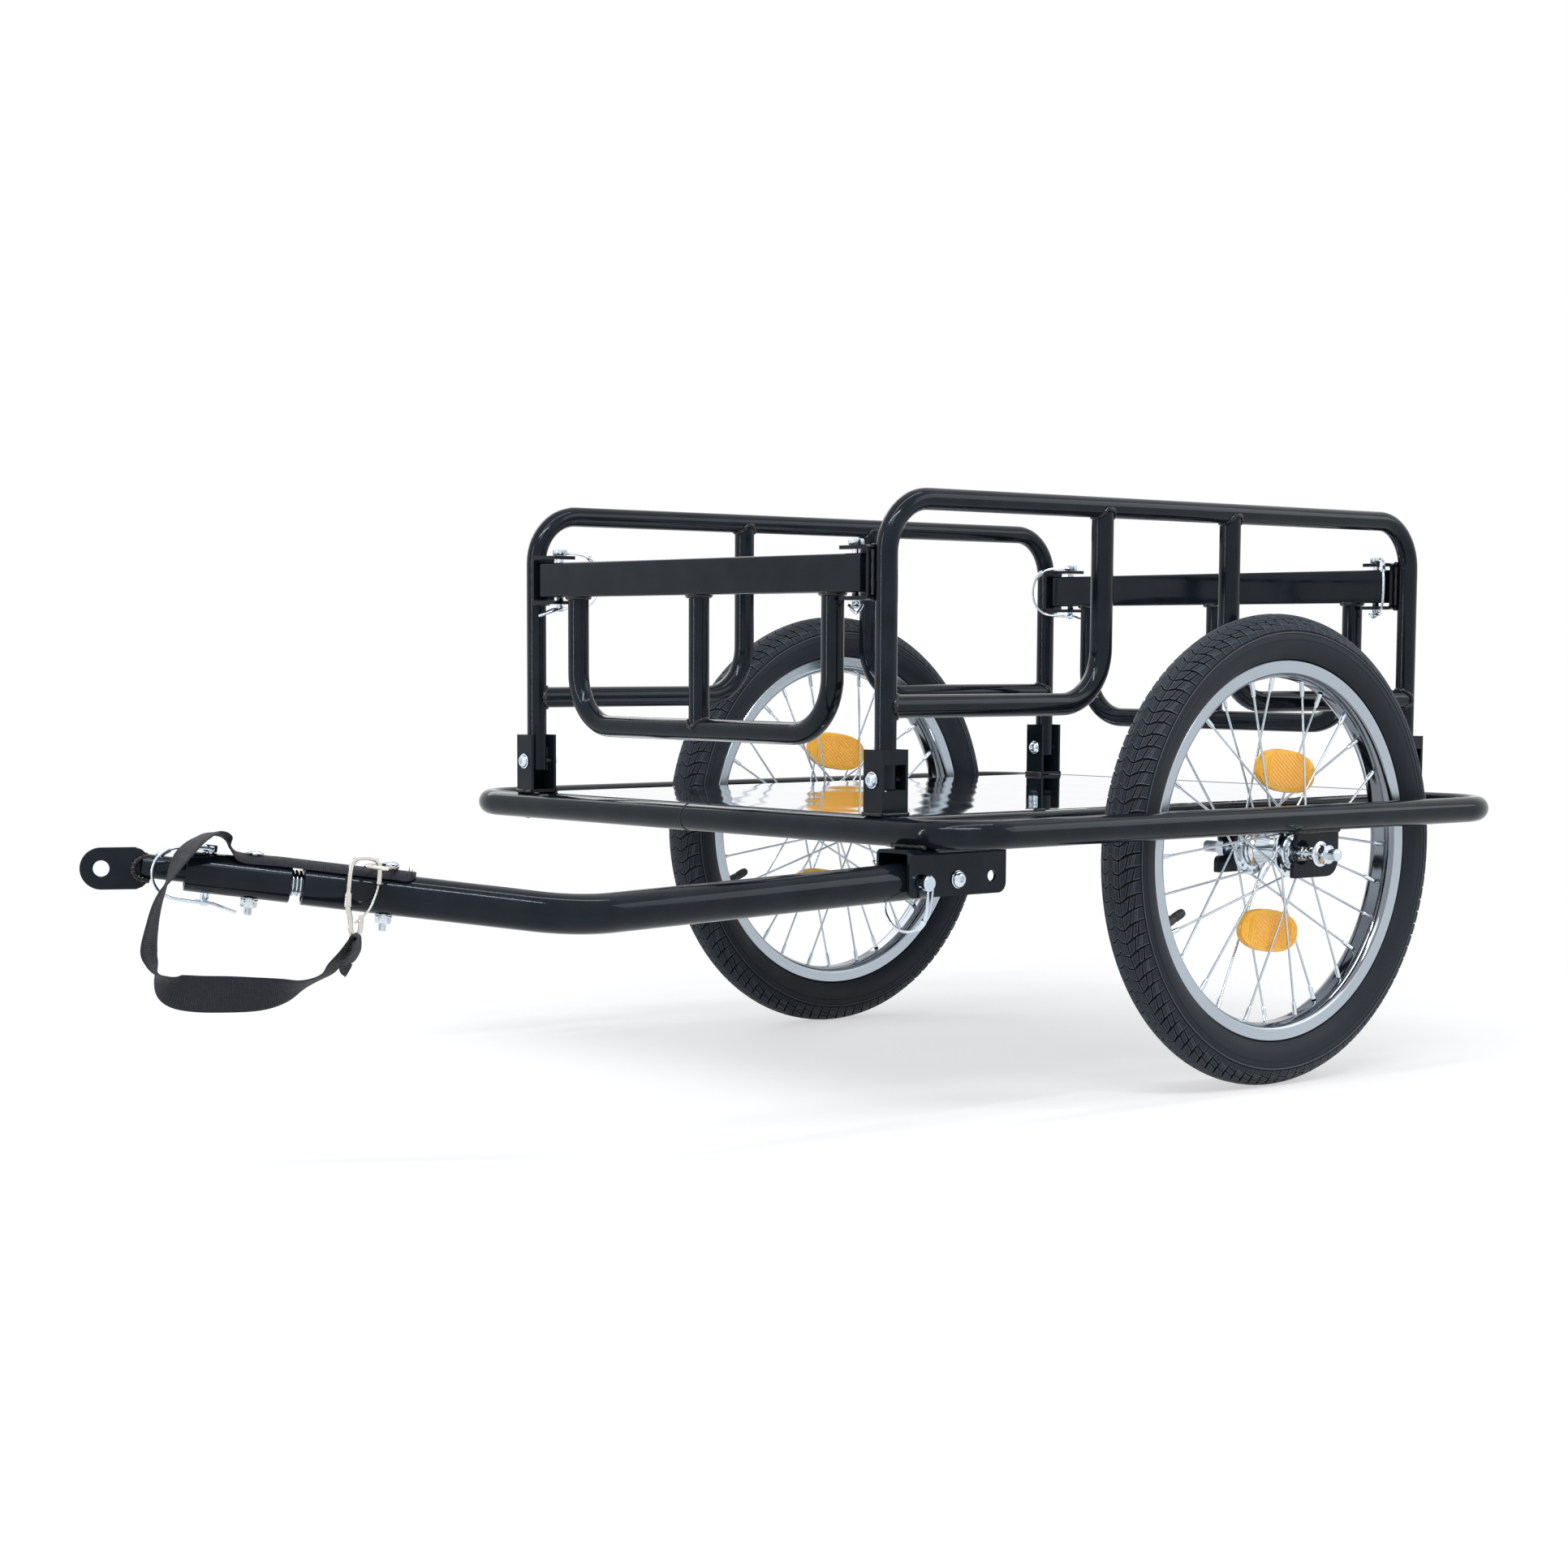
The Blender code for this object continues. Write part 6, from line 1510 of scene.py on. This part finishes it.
def coupler():
    inside = SLEEVE_RADIUS - SLEEVE_WALL
    sleeve = [(inside, SLEEVE_START + 0.0003), (inside + 0.0004, SLEEVE_START),
              (SLEEVE_RADIUS - 0.0005, SLEEVE_START),
              (SLEEVE_RADIUS, SLEEVE_START + 0.0005), (SLEEVE_RADIUS, SLEEVE_END - 0.0005),
              (SLEEVE_RADIUS - 0.0005, SLEEVE_END), (inside + 0.0004, SLEEVE_END),
              (inside, SLEEVE_END - 0.0003)]
    piece("sleeve_tube", "coupler_body", POWDER,
          lambda s: lathe(s, sleeve, on_arm(0), ARM_ALONG, 44, closed=True), ["coupler_sleeve"])
    level = Vector((ARM_ALONG.x, ARM_ALONG.y, 0.0)).normalized()
    foot = on_arm(PLATE_START) + Vector((0, 0, -0.001))
    half = PLATE_HEIGHT / 2
    eye_at = PLATE_LENGTH - half

    def on_plate(ahead, up, left):
        return foot + level * ahead + Vector((0, 0, up)) + ARM_LEFT * left

    def stub(s):
        lathe(s, [(0.0062, 0.2158), (0.0064, 0.2155), (0.0076, 0.2155), (0.008, 0.2160),
                  (0.008, PLATE_START + 0.003),
                  (0.0074, PLATE_START + 0.006), (0.0, PLATE_START + 0.006)], on_arm(0), ARM_ALONG, 40)

        def loops(*rows):
            made = [[s.verts.new(on_plate(a, b, left)) for a, b in points] for points, left in rows]
            for first, second in zip(made, made[1:]):
                bridge(s, first, second)
            return made[0], made[-1]

        face = PLATE_THICKNESS / 2
        outline = arc((eye_at, 0.0), half, -90.0, 90.0, 24)
        outline += [(0.010, half), (0.006, half - 0.0015), (0.001, half - 0.0060), (0.0, half - 0.0085),
                    (0.0, -half + 0.0085), (0.001, -half + 0.0060), (0.006, -half + 0.0015), (0.010, -half)]
        shrunk = [(a + (eye_at - a) * 0.03, b * 0.97) for a, b in outline]
        hole, sink = [arc((eye_at, 0.0), radius, 0.0, 360.0, 40)[:-1] for radius in (0.0053, 0.0088)]
        rims = loops((shrunk, face), (outline, face - 0.0006), (outline, -face + 0.0006), (shrunk, -face))
        bores = loops((sink, face), (hole, face - 0.0018), (hole, -face + 0.0018), (sink, -face))
        for pair in zip(rims, bores):
            edges = [s.edges.get(ends) for loop in pair for ends in zip(loop, loop[1:] + loop[:1])]
            bmesh.ops.triangle_fill(s, use_beauty=True, use_dissolve=False, edges=edges)

    piece("hitch_plate", "coupler_body", POWDER, stub, ["hitch_stub"], smooth=32.0)

    def weld(s):
        seam = ((0.0015, 0.0078, 0.0030), (0.0065, 0.0066, 0.0036), (0.0105, 0.0035, 0.0042),
                (0.0118, -0.0005, 0.0045),
                (0.0105, -0.0045, 0.0042), (0.0065, -0.0070, 0.0036), (0.0015, -0.0082, 0.0030))
        for sense in (1.0, -1.0):
            bead(s, curve_through([on_plate(a, b, sense * c) for a, b, c in seam], 8), 0.0021)

    piece("hitch_weld", "coupler_body", WELD, weld)
    through_bolt("sleeve_screw", COUPLER_BOLT_AT, SLEEVE_RADIUS, "coupler_body", "sleeve_bolt")
    through_bolt("strap_screw", ARM_BOLT_AT, ARM_TUBE_RADIUS, "tow_arm_body", "arm_strap_bolt", lift=0.0031)
    turn = math.radians(25.0)
    out = ARM_ALONG * math.cos(turn) + ARM_LEFT * math.sin(turn)
    reach = SLEEVE_RADIUS + GAP
    lock_pin("hitch_pin", "coupler_body", "hitch_pin", on_arm(HITCH_PIN_AT), ARM_UP, out,
             (0.003, 0.0048, -reach - 0.008, reach), (0.040, 0.024, 0.005))
    # Spring: one wire, wound close
    centre = on_arm((ARM_END + SLEEVE_START) / 2)
    size = SPRING_RADIUS - SPRING_WIRE
    count = 40 * SPRING_TURNS
    path = []
    for k in range(count + 1):
        angle = 2 * math.pi * k / 40
        path.append(centre + ARM_ALONG * (SPRING_PITCH * SPRING_TURNS * (k / count - 0.5))
                    + ARM_LEFT * size * math.cos(angle) + ARM_UP * size * math.sin(angle))
    piece("spring_coils", "spring_body", ZINC, lambda s: sweep(s, path, SPRING_WIRE, 12), ["coupler_spring"])
    piece("spring_core", "spring_body", DARK,
          lambda s: sweep(s, [centre - ARM_ALONG * 0.0075, centre + ARM_ALONG * 0.0075], 0.0062, 24))


# Strap, hook and ring
def strap_route():
    """Places on the arm's axes, each with the width direction as (along, left, up) and the radius
    that the band wraps over, 0 where it hangs free."""
    arm_top = ARM_TUBE_RADIUS + 0.0005
    sleeve_top = SLEEVE_RADIUS + 0.0006
    flat = (0.0, 1.0, 0.0)
    arm, sleeve, pin = ARM_BOLT_AT, COUPLER_BOLT_AT, HITCH_PIN_AT
    return [
        ((arm - 0.0180, 0.0, 0.0), flat, arm_top),
        ((arm - 0.0168, 0.0, 0.0), flat, arm_top),
        ((arm - 0.0145, 0.0, 0.0), flat, arm_top),
        ((arm - 0.0100, 0.0, 0.0), flat, arm_top),
        ((arm + 0.0290, 0.0, 0.0), flat, arm_top),
        ((ARM_END - 0.0020, 0.0, 0.0), flat, arm_top),
        ((SLEEVE_START + 0.0080, 0.0, 0.0), flat, sleeve_top + 0.0003),
        ((sleeve - 0.0085, 0.0, 0.0), flat, sleeve_top),
        ((sleeve + 0.0085, 0.0, 0.0), flat, sleeve_top),
        ((pin - 0.0142, 0.0, 0.0171), flat, 0.0),
        ((pin - 0.0097, 0.001, 0.0231), flat, 0.0),
        ((pin - 0.0045, 0.004, 0.0260), (-0.25, 0.95, 0.10), 0.0),
        ((pin + 0.0030, 0.0115, 0.0257), (-0.40, 0.85, 0.20), 0.0),
        ((pin + 0.0115, 0.0203, 0.0200), (-0.40, 0.85, 0.10), 0.0),
        ((pin + 0.0185, 0.0264, 0.0108), (-0.35, 0.90, 0.0), 0.0),
        ((pin + 0.0240, 0.0285, -0.0009), (-0.20, 0.97, 0.10), 0.0),
        ((pin + 0.0280, 0.028, -0.0118), (0.10, 0.99, 0.15), 0.0),
        ((pin + 0.0309, 0.028, -0.0229), (0.25, 0.95, 0.10), 0.0),
        ((pin + 0.0324, 0.028, -0.0366), (0.35, 0.93, 0.0), 0.0),
        ((pin + 0.0327, 0.028, -0.0518), (0.45, 0.90, 0.0), 0.0),
        ((pin + 0.0295, 0.028, -0.0606), (0.45, 0.85, 0.25), 0.0),
        ((pin + 0.0236, 0.028, -0.0697), (0.30, 0.65, 0.65), 0.0),
        ((pin + 0.0143, 0.028, -0.0767), (0.10, 0.40, 0.92), 0.0),
        ((pin, 0.028, -0.0776), (0.0, 0.20, 1.0), 0.0),
        ((pin - 0.0210, 0.028, -0.0757), (0.0, 0.20, 1.0), 0.0),
        ((pin - 0.0419, 0.028, -0.0732), (0.10, 0.40, 0.90), 0.0),
        ((pin - 0.0572, 0.028, -0.0692), (0.15, 0.70, 0.70), 0.0),
        ((pin - 0.0698, 0.028, -0.0634), (0.20, 0.95, 0.25), 0.0),
        ((arm + 0.0373, 0.028, -0.0566), (0.35, 0.93, 0.0), 0.0),
        ((arm + 0.0314, 0.028, -0.0494), (0.45, 0.90, 0.05), 0.0),
        ((arm + 0.0256, 0.028, -0.0406), (0.40, 0.92, 0.05), 0.0),
        ((arm + 0.0218, 0.028, -0.0318), (0.30, 0.95, 0.0), 0.0),
        ((arm + 0.0208, 0.028, -0.0290), (0.30, 0.95, 0.0), 0.0),
        ((arm + 0.0192, 0.028, -0.0286), (0.30, 0.95, 0.0), 0.0),
        ((arm + 0.0183, 0.028, -0.0312), (0.30, 0.95, 0.0), 0.0),
        ((arm + 0.0182, 0.028, -0.0375), (0.34, 0.94, 0.0), 0.0),
        ((arm + 0.0205, 0.028, -0.0430), (0.38, 0.92, 0.0), 0.0),
        ((arm + 0.0232, 0.028, -0.0464), (0.42, 0.90, 0.0), 0.0),
        ((arm + 0.0232, 0.028, -0.0500), (0.42, 0.90, 0.0), 0.0),
        ((arm + 0.0215, 0.028, -0.0520), (0.42, 0.90, 0.0), 0.0),
    ]


def strap():
    """A woven band with a thick rounded start, bent over the tubes and hanging in a loop."""
    route = strap_route()
    half = STRAP_THICKNESS / 2
    points = curve_through([on_arm(u, w, wrap + half if wrap else v) for (u, w, v), _, wrap in route])
    widths = curve_through([ARM_ALONG * u + ARM_LEFT * w + ARM_UP * v for _, (u, w, v), _ in route])
    bends = curve_through([(1.0 / (wrap + half) if wrap else 0.0, 0, 0) for _, _, wrap in route])
    bends = [max(bend.x, 0.5) for bend in bends]
    count = len(points)
    across = 14
    round_end = 0.009
    verts = []
    uvs = []
    length = 0.0
    for i in range(count):
        ahead = (points[min(i + 1, count - 1)] - points[max(i - 1, 0)]).normalized()
        side = (widths[i] - ahead * widths[i].dot(ahead)).normalized()
        normal = ahead.cross(side)
        if i:
            length += (points[i] - points[i - 1]).length
        near = max(round_end - length, 0.0)
        wide = STRAP_WIDTH / 2 - round_end + math.sqrt(round_end ** 2 - near ** 2) + 0.0004 * (near > 0)
        thick = half * (1.0 + 0.6 * max(min((0.020 - length) / 0.008, 1.0), 0.0))
        for face in (1.0, -1.0):
            for k in range(across + 1):
                t = -1.0 + 2.0 * k / across
                crown = math.sqrt(max(1.0 - abs(t) ** 6, 0.0))
                angle = t * wide * bends[i]
                lift = (thick if face > 0 else half) * face * (0.25 + 0.7 * crown)
                radius = 1.0 / bends[i] + lift
                rise = radius * math.cos(angle) - 1.0 / bends[i]
                verts.append(tuple(points[i] + side * (radius * math.sin(angle)) + normal * rise))
                uvs.append((length, t * STRAP_WIDTH / 2))
    ring = 2 * (across + 1)
    faces = []
    for i in range(count - 1):
        a, b = i * ring, (i + 1) * ring
        for k in range(across):
            faces.append((a + k, a + k + 1, b + k + 1, b + k))
            faces.append((a + across + 1 + k, b + across + 1 + k, b + across + 2 + k, a + across + 2 + k))
        faces.append((a, b, b + across + 1, a + across + 1))
        faces.append((a + across, a + 2 * across + 1, b + 2 * across + 1, b + across))
    for start in (0, (count - 1) * ring):
        for k in range(across):
            faces.append((start + k, start + k + 1, start + across + 2 + k, start + across + 1 + k))
    mesh = bpy.data.meshes.new("strap_webbing")
    mesh.from_pydata(verts, [], faces)
    layer = mesh.uv_layers.new(name="flat")
    for loop in mesh.loops:
        layer.data[loop.index].uv = uvs[loop.vertex_index]
    turned_outward(mesh)
    mesh.materials.append(WEBBING)
    smoothed(mesh, 60.0)
    made = placed("strap_webbing", mesh)
    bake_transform(made)
    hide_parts("safety_strap")
    return made, length


def hook_and_ring():
    w = 0.0178
    low_w = w + 0.0005
    path = [(0.1385, w, 0.0070), (0.1390, w, 0.0150), (0.1400, w, 0.0205), (0.1430, w, 0.0232),
            (0.1500, w, 0.0238),
            (0.1555, w, 0.0220), (0.1580, w, 0.0160), (0.1580, w, 0.0030), (0.1570, low_w, -0.0100),
            (0.1545, low_w, -0.0180), (0.1535, low_w + 0.0012, -0.0250), (0.1515, low_w + 0.0010, -0.0290),
            (0.1490, low_w, -0.0290), (0.1472, low_w, -0.0250), (0.1475, low_w, -0.0150)]
    smooth = curve_through([on_arm(*p) for p in path], 7)

    def hook(s):
        sweep(s, smooth, 0.0018, 16)
        # A thicker collar round the nose
        near = [i for i, p in enumerate(smooth) if (p - on_arm(0.1578, low_w, -0.006)).length < 0.006]
        sweep(s, smooth[near[0]:near[-1]], 0.0026, 18)

    piece("hook_wire", "tow_arm_body", NICKEL, hook, ["snap_hook"])
    gate = [(0.1512, low_w, -0.0205), (0.1470, low_w, -0.0165), (0.1425, low_w, -0.0095),
            (0.1402, w, -0.0020),
            (0.1392, w, 0.0030), (0.1388, w, 0.0062)]
    piece("hook_gate_wire", "hook_gate_body", NICKEL,
          lambda s: sweep(s, curve_through([on_arm(*p) for p in gate]), 0.0008, 10), ["hook_gate"])
    height = ARM_TUBE_RADIUS + STRAP_THICKNESS + 0.0009 + RING_WIRE
    turn = math.radians(63.0)
    inner = 0.003 + RING_WIRE + 0.0008
    outline = [(inner * math.cos(math.radians(a)), inner * math.sin(math.radians(a)))
               for a in (100, 140, 180, 220, 260)]
    outline += [(0.021, -0.0075), (0.0245, -0.0070), (0.0260, -0.0045), (0.0260, 0.0045), (0.0245, 0.0070),
                (0.021, 0.0075)]
    ring = curve_through([on_arm(ARM_BOLT_AT + ahead * math.cos(turn) - left * math.sin(turn),
                                 ahead * math.sin(turn) + left * math.cos(turn), height) for ahead,
                          left in outline],
                         closed=True)
    piece("ring_wire", "tow_arm_body", NICKEL, lambda s: sweep(s, ring, RING_WIRE, 14, closed=True),
          ["strap_ring"])


base()
leg_fittings()
panels()
gates()
gate_pins()
for name, side in SIDES:
    for build in (tyre, rim, spokes, hub, valve, reflector, axle):
        build(name, side)
dropouts()
tow_arm()
coupler()
band, band_length = strap()
hook_and_ring()


# Floor, backdrop and light
def seen_rays(tree):
    """1 for camera, glossy and transmission rays, which see the white backdrop itself."""
    rays = tree.nodes.new("ShaderNodeLightPath")
    seen = rays.outputs["Is Camera Ray"]
    for kind in ("Is Glossy Ray", "Is Transmission Ray"):
        either = tree.nodes.new("ShaderNodeMath")
        either.operation = "MAXIMUM"
        tree.links.new(seen, either.inputs[0])
        tree.links.new(rays.outputs[kind], either.inputs[1])
        seen = either.outputs[0]
    return seen


def floor():
    """A white floor that keeps the soft shadow near the trailer and fades into the backdrop."""
    mesh = bpy.data.meshes.new("floor")
    size = 14.0
    mesh.from_pydata([(-size, -size, 0), (size, -size, 0), (size, size, 0), (-size, size, 0)], [],
                     [(0, 1, 2, 3)])
    look = Shader("pale_floor", (0.92, 0.92, 0.92), 0.8)
    look.colour(look.noise(3.0), [(0.3, (0.91, 0.91, 0.91)), (0.7, (0.93, 0.93, 0.93))])
    look.set("Specular IOR Level", 0.0)
    white = look.node("ShaderNodeEmission", {"Color": (1.0, 1.0, 1.0, 1.0), "Strength": 1.0})
    distance = look.node("ShaderNodeVectorMath", operation="LENGTH")
    look.link(look.place, distance.inputs[0])
    fade = look.node("ShaderNodeMapRange", {"From Min": 0.55, "From Max": 1.5, "To Min": 0.55, "To Max": 1.0},
                     interpolation_type="SMOOTHSTEP")
    look.link(distance.outputs["Value"], fade.inputs["Value"])
    share = look.maths("MULTIPLY", fade.outputs["Result"], seen_rays(look.tree))
    mix = look.node("ShaderNodeMixShader")
    look.link(share, mix.inputs["Fac"])
    look.link(look.shader.outputs["BSDF"], mix.inputs[1])
    look.link(white.outputs["Emission"], mix.inputs[2])
    look.link(mix.outputs["Shader"], look.tree.nodes["Material Output"].inputs["Surface"])
    mesh.materials.append(look.material)
    placed("floor", mesh)


def lamp(name, place, target, size, power):
    data = bpy.data.lights.new(name, "AREA")
    data.shape = "RECTANGLE"
    data.size, data.size_y = size
    data.energy = power
    made = placed(name, data)
    made.location = place
    made.rotation_euler = (Vector(target) - Vector(place)).to_track_quat("-Z", "Y").to_euler()


def studio():
    world = bpy.data.worlds.new("studio")
    bpy.context.scene.world = world
    world.use_nodes = True
    tree = world.node_tree
    tree.nodes.clear()
    mix = tree.nodes.new("ShaderNodeMixShader")
    # Soft daylight for the trailer, plain white for the rays that see the backdrop
    for at, colour, strength in ((1, (0.92, 0.96, 1.0, 1.0), 0.62), (2, (1.0, 1.0, 1.0, 1.0), 1.0)):
        sky = tree.nodes.new("ShaderNodeBackground")
        sky.inputs["Color"].default_value = colour
        sky.inputs["Strength"].default_value = strength
        tree.links.new(sky.outputs[0], mix.inputs[at])
    out = tree.nodes.new("ShaderNodeOutputWorld")
    tree.links.new(seen_rays(tree), mix.inputs["Fac"])
    tree.links.new(mix.outputs[0], out.inputs["Surface"])
    lamp("key", (1.3, 1.8, 2.5), (0.0, 0.0, 0.2), (1.0, 0.8), 8.0)
    lamp("fill", (-1.8, 1.6, 1.5), (0.0, 0.0, 0.2), (1.6, 1.2), 12.0)
    lamp("long_strip", (1.15, 1.25, 2.55), (0.1, 0.1, 0.2), (2.4, 0.09), 42.0)
    lamp("strip", (0.1, 0.5, 2.0), (0.1, 0.1, 0.2), (1.8, 0.12), 8.0)
    lamp("side_strip", (2.3, -0.4, 0.9), (0.1, 0.1, 0.2), (0.08, 1.6), 12.0)
    lamp("back", (-0.6, -2.4, 1.8), (0.0, 0.0, 0.3), (1.8, 1.0), 14.0)


floor()
studio()
bpy.context.scene.view_settings.view_transform = "Standard"
